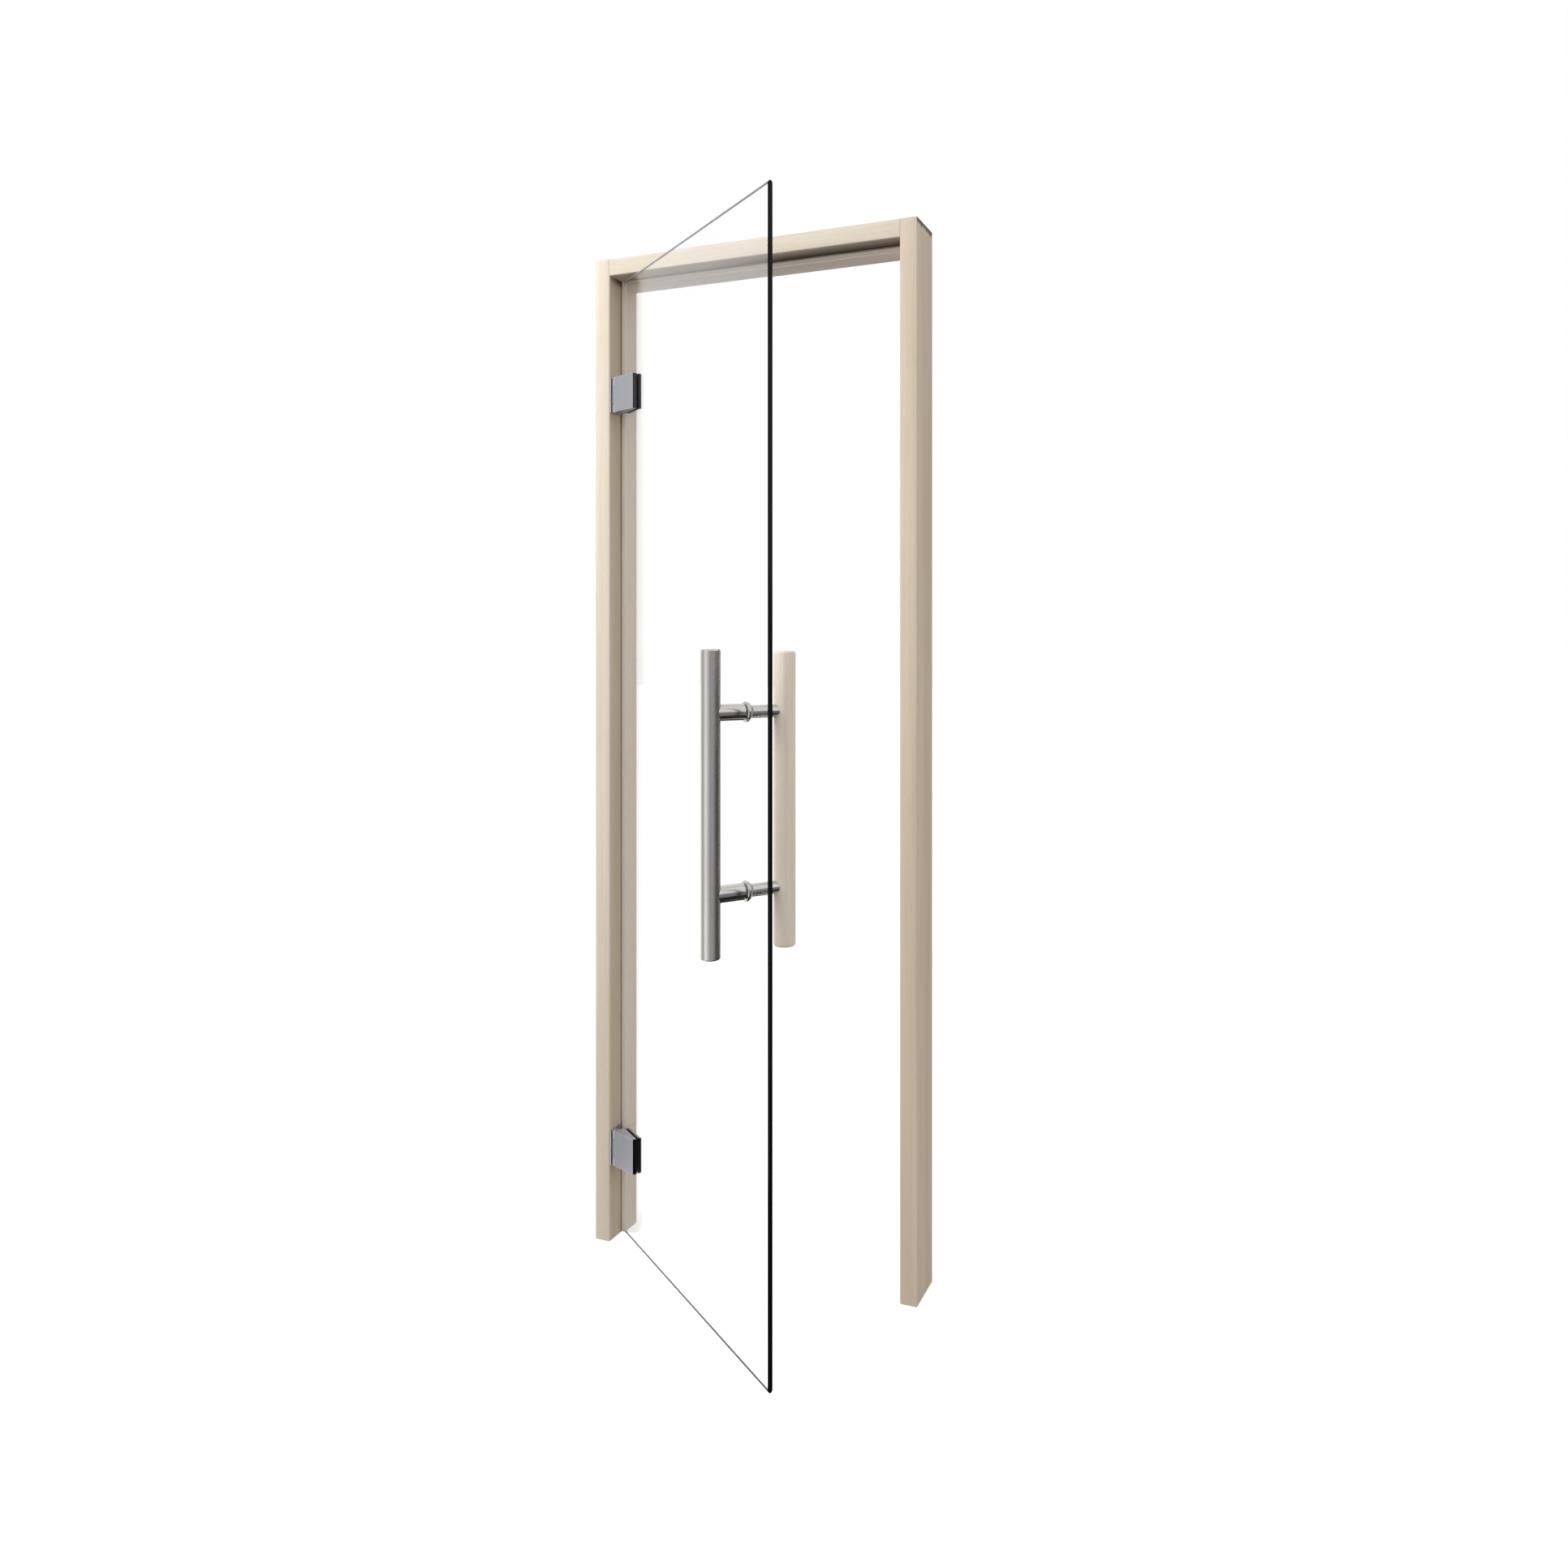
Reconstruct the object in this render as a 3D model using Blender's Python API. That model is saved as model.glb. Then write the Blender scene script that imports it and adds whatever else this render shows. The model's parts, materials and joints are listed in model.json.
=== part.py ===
# Sauna door: a rebated timber frame with a frameless glass leaf on two clamp hinges
# and a pull handle that is steel outside and wood inside.
# Metres, +Z up. The origin is on the outer side of the hinge jamb, at floor level and at
# the middle of the frame's depth. +X runs across the doorway, -Y is the side it opens to.

import math

import bmesh
import bpy
from mathutils import Matrix, Vector

# Frame
frameWidth = 0.690
frameHeight = 1.990
frameDepth = 0.092
lipWidth = 0.033  # face of the frame seen from the front, beside the rebate
stopStep = 0.012  # how far the stop stands in from the rebate wall
rebateDepth = 0.045  # from the front of the frame back to the stop
edgeRound = 0.0015

# Seal strips in the rebate
sealWidth = 0.009
sealThickness = 0.005
sealFloorGap = 0.004

# Glass leaf
glassThickness = 0.008
glassHingeGap = 0.008  # rebate wall to the hinge edge of the glass
glassStrikeGap = 0.005
glassTopGap = 0.005
glassFloorGap = 0.010
glassSealGap = 0.005  # closed glass to the seal strips
glassEdgeRound = 0.0008
openAngle = 35.4  # degrees that the leaf stands open as modelled

# Hinges
upperHingeDrop = 0.242  # middle of the upper hinge below the top of the rebate
lowerHingeHeight = 0.190  # middle of the lower hinge above the floor
hingeLength = 0.070
knuckleLength = 0.036
knuckleGap = 0.001
barrelRadius = 0.0065
pinRadius = 0.003
pinHeadRadius = 0.0048
pinHeadHeight = 0.0015
pivotOffset = 0.010  # pivot from the rebate wall
pivotDepth = 0.007  # pivot behind the front of the frame
barrelClearance = 0.0012  # moving body round the fixed barrels
earRoomTurn = 75.0  # degrees from +X at which the room for the fixed barrels leaves its round
bracketThickness = 0.0025
bracketFrontInset = 0.001
bracketBackInset = 0.007  # end of the bracket in front of the stop
clampReach = 0.066  # end of the clamp beyond the hinge edge of the glass
clampTip = 0.007
clampChamfer = 0.002  # along the top, bottom and tip of the clamp's front
clampStart = 0.006  # clamp faces begin this far onto the glass
rearPlateStart = 0.009
rearPlateThickness = 0.005
rearPlateChamfer = 0.002
gasketThickness = 0.0017
wallScrewRadius = 0.0018
wallScrewHeadRadius = 0.0036
wallScrewLength = 0.026
wallScrewSpacing = 0.046
wallScrewInset = 0.021  # screw line behind the front edge of the bracket
clampScrewRadius = 0.0025
clampScrewHeadRadius = 0.0047
clampScrewSpacing = 0.036
clampScrewReach = 0.032  # screw line beyond the hinge edge of the glass
clampScrewBite = 0.007  # thread inside the front clamp
glassHoleRadius = 0.006

# Pull handle
handleInset = 0.070  # posts from the free edge of the glass
handleHeight = 0.950
postSpacing = 0.295
gripLength = 0.502
gripRadius = 0.016
gripWall = 0.0015
gripStandoff = 0.068  # outer face of the glass to the axis of the steel grip
capThickness = 0.003
capRound = 0.0018
capPlugLength = 0.010
woodGripLength = 0.495
woodGripRadius = 0.0185
woodGripStandoff = 0.061  # inner face of the glass to the axis of the wood grip
woodGripRound = 0.002
outerPostRadius = 0.0142
postNeckRadius = 0.0118
postNeckLength = 0.003
collarRadius = 0.0172
collarThickness = 0.006
collarRound = 0.0018
innerPostRadius = 0.0108
washerThickness = 0.001
washerInset = 0.0018  # rim of a washer inside what it lies under
studRadius = 0.004
studDepth = 0.018  # stud inside each post

# Fits
seatGap = 0.0003  # between pieces that rest on each other
boreClearance = 0.0003
cutMargin = 0.004  # how far a cutter runs past what it cuts
sameSpot = 0.0001  # points closer than this are one

# Roundness
roundSteps = 32
smallSteps = 20
arcSteps = 10
earRoomSteps = 8
quarterSteps = 3  # across a rounded rim
sharpAngle = 30.0

# Places worked out from the sizes above
frontFace = -frameDepth / 2
backFace = frameDepth / 2
stopFace = frontFace + rebateDepth
rebateTop = frameHeight - lipWidth
rebateRight = frameWidth - lipWidth
stopLeft = lipWidth + stopStep
stopRight = frameWidth - stopLeft
stopTop = frameHeight - stopLeft
pivotX = lipWidth + pivotOffset
pivotY = frontFace + pivotDepth
hingeHeights = {"upper": rebateTop - upperHingeDrop, "lower": lowerHingeHeight}
postHeights = {"upper": handleHeight + postSpacing / 2, "lower": handleHeight - postSpacing / 2}

# The leaf is modelled closed, from its pivot, and its parent turns it open
glassBack = stopFace - sealThickness - glassSealGap - pivotY
glassFront = glassBack - glassThickness
glassLeft = lipWidth + glassHingeGap - pivotX
glassRight = rebateRight - glassStrikeGap - pivotX
glassBottom = glassFloorGap
glassTop = rebateTop - glassTopGap
handleX = glassRight - handleInset


def clearScene():
    for thing in list(bpy.data.objects):
        bpy.data.objects.remove(thing, do_unlink=True)


def makeMaterial(name, color, roughness, metallic=0.0, transmission=0.0):
    material = bpy.data.materials.new(name)
    material.use_nodes = True
    shader = material.node_tree.nodes["Principled BSDF"]
    shader.inputs["Base Color"].default_value = (*color, 1.0)
    shader.inputs["Roughness"].default_value = roughness
    shader.inputs["Metallic"].default_value = metallic
    shader.inputs["Transmission Weight"].default_value = transmission
    material.diffuse_color = (*color, 1.0)
    return material


def finishObject(name, bm, material, parent=None):
    bmesh.ops.recalc_face_normals(bm, faces=bm.faces)
    mesh = bpy.data.meshes.new(name)
    bm.to_mesh(mesh)
    bm.free()
    mesh.shade_smooth()
    mesh.set_sharp_from_angle(angle=math.radians(sharpAngle))
    thing = bpy.data.objects.new(name, mesh)
    bpy.context.scene.collection.objects.link(thing)
    if material:
        mesh.materials.append(material)
    if parent:
        thing.parent = parent
    return thing


def addBox(bm, low, high):
    corners = bmesh.ops.create_cube(bm, size=1.0)["verts"]
    size = Vector(high) - Vector(low)
    middle = (Vector(high) + Vector(low)) / 2
    bmesh.ops.scale(bm, vec=size, verts=corners)
    bmesh.ops.translate(bm, vec=middle, verts=corners)


def addPrism(bm, outline, bottom, top):
    # A plan outline of (x, y) points, extruded upwards
    ring = [bm.verts.new((x, y, bottom)) for x, y in outline]
    face = bm.faces.new(ring)
    raised = bmesh.ops.extrude_face_region(bm, geom=[face])["geom"]
    lifted = [part for part in raised if isinstance(part, bmesh.types.BMVert)]
    bmesh.ops.translate(bm, vec=(0, 0, top - bottom), verts=lifted)


def addTurned(bm, profile, steps, place):
    # A profile of (radius, height) points from the axis back to the axis, turned about Z
    rings = []
    for radius, height in profile:
        if radius == 0:
            rings.append([bm.verts.new(place @ Vector((0, 0, height)))])
            continue
        ring = []
        for step in range(steps):
            angle = 2 * math.pi * step / steps
            point = Vector((radius * math.cos(angle), radius * math.sin(angle), height))
            ring.append(bm.verts.new(place @ point))
        rings.append(ring)
    for lower, upper in zip(rings, rings[1:]):
        for step in range(steps):
            following = (step + 1) % steps
            corners = [lower[step % len(lower)], lower[following % len(lower)]]
            corners += [upper[following % len(upper)], upper[step % len(upper)]]
            corners = list(dict.fromkeys(corners))
            bm.faces.new(corners)


def addCylinder(bm, radius, bottom, top, steps, place):
    addTurned(bm, [(0, bottom), (radius, bottom), (radius, top), (0, top)], steps, place)


def roundedEnd(radius, height, rounding, direction):
    # The corner of a turned profile as an arc, from the side to the end or back
    points = []
    for step in range(quarterSteps + 1):
        angle = math.pi / 2 * step / quarterSteps
        inward = rounding * (1 - math.cos(angle))
        along = rounding * (1 - math.sin(angle))
        points.append((radius - inward, height - direction * along))
    return points


def verticalAt(x, y):
    return Matrix.Translation((x, y, 0))


def alongY(x, z):
    # Local Z runs along +Y
    return Matrix.Translation((x, 0, z)) @ Matrix.Rotation(-math.pi / 2, 4, "X")


def alongX(y, z):
    # Local Z runs along +X
    return Matrix.Translation((0, y, z)) @ Matrix.Rotation(math.pi / 2, 4, "Y")


def makeCutter(name, bm, parent=None):
    cutter = finishObject(name, bm, None, parent)
    cutter.hide_render = True
    cutter.display_type = "WIRE"
    return cutter


def applyBoolean(thing, other, operation="DIFFERENCE"):
    modifier = thing.modifiers.new(other.name, "BOOLEAN")
    modifier.operation = operation
    modifier.solver = "EXACT"
    modifier.object = other


def roundEdges(bm, picks, width):
    # Rounds the edges whose middle passes the test
    chosen = []
    for edge in bm.edges:
        middle = (edge.verts[0].co + edge.verts[1].co) / 2
        if picks(middle, edge):
            chosen.append(edge)
    bmesh.ops.bevel(bm, geom=chosen, offset=width, segments=2, affect="EDGES", profile=0.5)


def isVertical(edge):
    return abs(edge.verts[0].co.z - edge.verts[1].co.z) > frameHeight / 2


def isAcross(edge):
    return abs(edge.verts[0].co.x - edge.verts[1].co.x) > frameWidth / 2


# Frame


def makeJamb(name, mirrored, material):
    bm = bmesh.new()
    outline = [(0, frontFace), (lipWidth, frontFace), (lipWidth, stopFace)]
    outline += [(stopLeft, stopFace), (stopLeft, backFace), (0, backFace)]
    addPrism(bm, outline, 0, frameHeight)

    def isOuterCorner(middle, edge):
        inRebate = abs(middle.x - lipWidth) < sameSpot and abs(middle.y - stopFace) < sameSpot
        return isVertical(edge) and middle.x > sameSpot and not inRebate

    roundEdges(bm, isOuterCorner, edgeRound)
    if mirrored:
        bmesh.ops.scale(bm, vec=(-1, 1, 1), verts=bm.verts)
        bmesh.ops.translate(bm, vec=(frameWidth, 0, 0), verts=bm.verts)
    return finishObject(name, bm, material)


def makeHead(material):
    # The lip runs between the rebate walls and the stop between the side stops
    bm = bmesh.new()
    outline = [(frontFace, rebateTop), (stopFace, rebateTop), (stopFace, stopTop)]
    outline += [(backFace, stopTop), (backFace, frameHeight), (frontFace, frameHeight)]
    left = lipWidth + seatGap
    right = rebateRight - seatGap
    ring = [bm.verts.new((left, y, z)) for y, z in outline]
    face = bm.faces.new(ring)
    raised = bmesh.ops.extrude_face_region(bm, geom=[face])["geom"]
    moved = [part for part in raised if isinstance(part, bmesh.types.BMVert)]
    bmesh.ops.translate(bm, vec=(right - left, 0, 0), verts=moved)

    def isLowerCorner(middle, edge):
        inRebate = abs(middle.z - rebateTop) < sameSpot and abs(middle.y - stopFace) < sameSpot
        return isAcross(edge) and middle.z < frameHeight - sameSpot and not inRebate

    roundEdges(bm, isLowerCorner, edgeRound)
    head = finishObject("head", bm, material)
    notches = bmesh.new()
    low = (lipWidth - cutMargin, stopFace - seatGap, stopTop - cutMargin)
    high = (stopLeft + seatGap, backFace + cutMargin, frameHeight + cutMargin)
    addBox(notches, low, high)
    low = (stopRight - seatGap, stopFace - seatGap, stopTop - cutMargin)
    high = (rebateRight + cutMargin, backFace + cutMargin, frameHeight + cutMargin)
    addBox(notches, low, high)
    applyBoolean(head, makeCutter("head_end_cutter", notches))


def makeSeals(material):
    front = stopFace - sealThickness
    back = stopFace - seatGap
    inset = stopStep - sealWidth - seatGap
    sides = {
        "seal_hinge_side": (lipWidth + seatGap, stopLeft - inset),
        "seal_strike_side": (stopRight + inset, rebateRight - seatGap),
    }
    for name, (left, right) in sides.items():
        bm = bmesh.new()
        addBox(bm, (left, front, sealFloorGap), (right, back, rebateTop - seatGap))
        finishObject(name, bm, material)
    bm = bmesh.new()
    left = stopLeft - inset + seatGap
    right = stopRight + inset - seatGap
    addBox(bm, (left, front, stopTop + inset), (right, back, rebateTop - seatGap))
    finishObject("seal_head", bm, material)


# Hinges


def tangentPoint(outside, radius, side):
    # Where a line from a point touches a circle about the pivot; side is +1 or -1
    distance = math.hypot(*outside)
    spread = math.acos(radius / distance)
    angle = math.atan2(outside[1], outside[0]) + side * spread
    return radius * math.cos(angle), radius * math.sin(angle)


def arcPoints(start, end, radius):
    # Points from one place on a circle about the pivot to another, clockwise seen from above
    first = math.atan2(start[1], start[0])
    last = math.atan2(end[1], end[0])
    while last > first:
        last -= 2 * math.pi
    points = []
    for step in range(arcSteps + 1):
        angle = first + (last - first) * step / arcSteps
        points.append((radius * math.cos(angle), radius * math.sin(angle)))
    return points


def makeBracket(name, height, material):
    # A plate on the rebate wall with a fixed barrel above and below the moving one
    bottom = height - hingeLength / 2
    top = height + hingeLength / 2
    earLength = (hingeLength - knuckleLength) / 2 - knuckleGap
    plateLeft = lipWidth + seatGap
    plateRight = plateLeft + bracketThickness
    bm = bmesh.new()
    low = (plateLeft, frontFace + bracketFrontInset, bottom)
    high = (plateRight, stopFace - bracketBackInset, top)
    addBox(bm, low, high)
    bracket = finishObject(name, bm, material)
    plateMiddle = plateLeft - pivotX + bracketThickness / 2
    outline = [(plateMiddle, barrelRadius)]
    outline += arcPoints((0, barrelRadius), (-barrelRadius, 0), barrelRadius)
    outline += [(plateMiddle, 0)]
    placed = [(x + pivotX, y + pivotY) for x, y in outline]
    ends = {"low": (bottom, bottom + earLength), "high": (top - earLength, top)}
    for label, (earBottom, earTop) in ends.items():
        ear = bmesh.new()
        addPrism(ear, placed, earBottom, earTop)
        applyBoolean(bracket, makeCutter(f"{name}_{label}_ear", ear), "UNION")
    bores = bmesh.new()
    radius = pinRadius + boreClearance
    place = verticalAt(pivotX, pivotY)
    addCylinder(bores, radius, bottom - cutMargin, top + cutMargin, smallSteps, place)
    applyBoolean(bracket, makeCutter(f"{name}_bore", bores))
    sinks = bmesh.new()
    for place in wallScrewPlaces(height):
        addSink(sinks, wallScrewRadius, wallScrewHeadRadius, plateLeft, plateRight, place)
    applyBoolean(bracket, makeCutter(f"{name}_sinks", sinks))


def addSink(bm, radius, headRadius, near, far, place):
    # Clears a countersunk screw through a plate that its head meets at the far face
    shank = radius + boreClearance
    head = headRadius + boreClearance
    profile = [(0, near - cutMargin), (shank, near - cutMargin)]
    profile += [(shank, far - headRadius + radius)]
    profile += [(head + cutMargin, far + cutMargin), (0, far + cutMargin)]
    addTurned(bm, profile, smallSteps, place)


def wallScrewPlaces(height):
    line = frontFace + bracketFrontInset + wallScrewInset
    return [alongX(line, height + side * wallScrewSpacing / 2) for side in (-1, 1)]


def makeWallScrews(name, height, material):
    outer = lipWidth + seatGap + bracketThickness
    depth = wallScrewHeadRadius - wallScrewRadius
    inner = outer - wallScrewLength
    for end, place in zip(("low", "high"), wallScrewPlaces(height)):
        profile = [(0, inner), (wallScrewRadius, inner + wallScrewRadius)]
        profile += [(wallScrewRadius, outer - depth), (wallScrewHeadRadius, outer), (0, outer)]
        bm = bmesh.new()
        addTurned(bm, profile, smallSteps, place)
        finishObject(f"{name}_{end}", bm, material)


def cutPilotHoles(jamb):
    bm = bmesh.new()
    outer = lipWidth + cutMargin
    inner = lipWidth - wallScrewLength
    for height in hingeHeights.values():
        for place in wallScrewPlaces(height):
            addCylinder(bm, wallScrewRadius + boreClearance, inner, outer, smallSteps, place)
    applyBoolean(jamb, makeCutter("pilot_hole_cutter", bm))


def makePin(name, height, material):
    bottom = height - hingeLength / 2 - seatGap
    top = height + hingeLength / 2 + seatGap
    profile = [(0, bottom - pinHeadHeight), (pinHeadRadius, bottom - pinHeadHeight)]
    profile += [(pinHeadRadius, bottom), (pinRadius, bottom), (pinRadius, top)]
    profile += [(pinHeadRadius, top), (pinHeadRadius, top + pinHeadHeight), (0, top + pinHeadHeight)]
    bm = bmesh.new()
    addTurned(bm, profile, smallSteps, verticalAt(pivotX, pivotY))
    finishObject(name, bm, material)


def makeFrontClamp(name, height, material, leaf):
    # A wedge that falls from the knuckle to a thin tip over the glass
    back = glassFront - gasketThickness - 2 * seatGap
    tipX = glassLeft + clampReach
    tip = (tipX, back - clampTip)
    heel = (glassLeft + clampStart, back)
    frontTouch = tangentPoint(tip, barrelRadius, -1)
    backTouch = tangentPoint(heel, barrelRadius, 1)
    outline = [heel, (tipX, back), tip] + arcPoints(frontTouch, backTouch, barrelRadius)
    bottom = height - hingeLength / 2
    top = height + hingeLength / 2
    bm = bmesh.new()
    addPrism(bm, outline, bottom, top)
    chamferSlope(bm, frontTouch, tip)
    clamp = finishObject(name, bm, material, leaf)
    cuts = bmesh.new()
    room = barrelRadius + barrelClearance
    knuckleBottom = height - knuckleLength / 2
    knuckleTop = height + knuckleLength / 2
    addEarRoom(cuts, room, bottom - cutMargin, knuckleBottom)
    addEarRoom(cuts, room, knuckleTop, top + cutMargin)
    applyBoolean(clamp, makeCutter(f"{name}_ear_cutter", cuts, leaf))
    holes = bmesh.new()
    radius = pinRadius + boreClearance
    place = verticalAt(0, 0)
    addCylinder(holes, radius, bottom - cutMargin, top + cutMargin, smallSteps, place)
    radius = clampScrewRadius + boreClearance
    bite = back - clampScrewBite - boreClearance
    for place in clampScrewPlaces(height):
        addCylinder(holes, radius, bite, back + cutMargin, smallSteps, place)
    applyBoolean(clamp, makeCutter(f"{name}_hole_cutter", holes, leaf))


def chamferSlope(bm, start, end):
    # Breaks the top and bottom edges of the flat that runs between two plan points
    corners = [Vector(start), Vector(end)]
    rims = []
    for edge in bm.edges:
        plan = [vert.co.to_2d() for vert in edge.verts]
        level = abs(edge.verts[0].co.z - edge.verts[1].co.z) < sameSpot
        nearest = [min((point - corner).length for point in plan) for corner in corners]
        if level and max(nearest) < sameSpot:
            rims.append(edge)
    bmesh.ops.bevel(bm, geom=rims, offset=clampChamfer, segments=2, affect="EDGES", profile=0.5)


def addEarRoom(bm, room, low, high):
    # Takes away all of the wedge beside a fixed barrel, back to a round clear of it
    start = -math.pi / 2
    turn = math.radians(earRoomTurn)
    outline = [(-pivotOffset, -room), (0, -room)]
    for step in range(earRoomSteps):
        angle = start + (turn - start) * (step + 1) / earRoomSteps
        outline.append((room * math.cos(angle), room * math.sin(angle)))
    outline += [(room * math.cos(turn), glassFront), (-pivotOffset, glassFront)]
    addPrism(bm, outline, low, high)


def clampScrewPlaces(height):
    x = glassLeft + clampScrewReach
    return [alongY(x, height + side * clampScrewSpacing / 2) for side in (-1, 1)]


def makeGasket(name, height, back, material, leaf):
    low = (glassLeft + clampStart, back - gasketThickness, height - hingeLength / 2)
    high = (glassLeft + clampReach, back, height + hingeLength / 2)
    bm = bmesh.new()
    addBox(bm, low, high)
    gasket = finishObject(name, bm, material, leaf)
    holes = bmesh.new()
    radius = clampScrewRadius + boreClearance
    front = back - gasketThickness
    for place in clampScrewPlaces(height):
        addCylinder(holes, radius, front - cutMargin, back + cutMargin, smallSteps, place)
    applyBoolean(gasket, makeCutter(f"{name}_hole_cutter", holes, leaf))


def makeRearPlate(name, height, material, leaf):
    front = glassBack + gasketThickness + 2 * seatGap
    back = front + rearPlateThickness
    low = (glassLeft + rearPlateStart, front, height - hingeLength / 2)
    high = (glassLeft + clampReach, back, height + hingeLength / 2)
    bm = bmesh.new()
    addBox(bm, low, high)
    rims = [edge for edge in bm.edges if min(vert.co.y for vert in edge.verts) > back - sameSpot]
    bmesh.ops.bevel(bm, geom=rims, offset=rearPlateChamfer, segments=1, affect="EDGES")
    plate = finishObject(name, bm, material, leaf)
    sinks = bmesh.new()
    for place in clampScrewPlaces(height):
        addSink(sinks, clampScrewRadius, clampScrewHeadRadius, front, back, place)
    applyBoolean(plate, makeCutter(f"{name}_sinks", sinks, leaf))


def makeClampScrews(name, height, material, leaf):
    end = glassFront - gasketThickness - 2 * seatGap - clampScrewBite
    head = glassBack + gasketThickness + 2 * seatGap + rearPlateThickness
    depth = clampScrewHeadRadius - clampScrewRadius
    for side, place in zip(("low", "high"), clampScrewPlaces(height)):
        profile = [(0, end), (clampScrewRadius, end), (clampScrewRadius, head - depth)]
        profile += [(clampScrewHeadRadius, head), (0, head)]
        bm = bmesh.new()
        addTurned(bm, profile, smallSteps, place)
        finishObject(f"{name}_{side}", bm, material, leaf)


def makeHinge(label, height, metal, rubber, screwMetal, leaf):
    makeBracket(f"{label}_hinge_bracket", height, metal)
    makeWallScrews(f"{label}_hinge_wall_screw", height, screwMetal)
    makePin(f"{label}_hinge_pin", height, screwMetal)
    makeFrontClamp(f"{label}_hinge_front_clamp", height, metal, leaf)
    makeGasket(f"{label}_hinge_outer_gasket", height, glassFront - seatGap, rubber, leaf)
    inner = glassBack + seatGap + gasketThickness
    makeGasket(f"{label}_hinge_inner_gasket", height, inner, rubber, leaf)
    makeRearPlate(f"{label}_hinge_rear_plate", height, metal, leaf)
    makeClampScrews(f"{label}_hinge_clamp_screw", height, screwMetal, leaf)


# Leaf


def makeGlass(material, leaf):
    bm = bmesh.new()
    addBox(bm, (glassLeft, glassFront, glassBottom), (glassRight, glassBack, glassTop))
    rims = list(bm.edges)
    bmesh.ops.bevel(bm, geom=rims, offset=glassEdgeRound, segments=1, affect="EDGES")
    glass = finishObject("glass_leaf", bm, material, leaf)
    holes = bmesh.new()
    places = [alongY(handleX, height) for height in postHeights.values()]
    for height in hingeHeights.values():
        places += clampScrewPlaces(height)
    low = glassFront - cutMargin
    high = glassBack + cutMargin
    for place in places:
        addCylinder(holes, glassHoleRadius, low, high, smallSteps, place)
    applyBoolean(glass, makeCutter("glass_hole_cutter", holes, leaf))


# Pull handle


def makeSteelGrip(material, leaf):
    # A tube with plugged ends
    y = glassFront - gripStandoff
    bottom = handleHeight - gripLength / 2 + capThickness + seatGap
    top = handleHeight + gripLength / 2 - capThickness - seatGap
    place = verticalAt(handleX, y)
    bm = bmesh.new()
    bore = gripRadius - gripWall
    addRing(bm, bore, gripRadius, bottom, top, place)
    finishObject("steel_grip", bm, material, leaf)
    for label, side in (("upper", 1), ("lower", -1)):
        end = handleHeight + side * gripLength / 2
        shoulder = end - side * capThickness
        plug = shoulder - side * capPlugLength
        plugRadius = bore - seatGap
        profile = [(0, plug), (plugRadius, plug), (plugRadius, shoulder), (gripRadius, shoulder)]
        profile += roundedEnd(gripRadius, end, capRound, side) + [(0, end)]
        cap = bmesh.new()
        addTurned(cap, profile, roundSteps, place)
        finishObject(f"{label}_grip_cap", cap, material, leaf)


def makeWoodGrip(material, leaf):
    y = glassBack + woodGripStandoff
    bottom = handleHeight - woodGripLength / 2
    top = handleHeight + woodGripLength / 2
    lowRim = roundedEnd(woodGripRadius, bottom, woodGripRound, -1)
    highRim = roundedEnd(woodGripRadius, top, woodGripRound, 1)
    profile = [(0, bottom)] + lowRim[::-1] + highRim + [(0, top)]
    bm = bmesh.new()
    addTurned(bm, profile, roundSteps, verticalAt(handleX, y))
    finishObject("wood_grip", bm, material, leaf)


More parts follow.
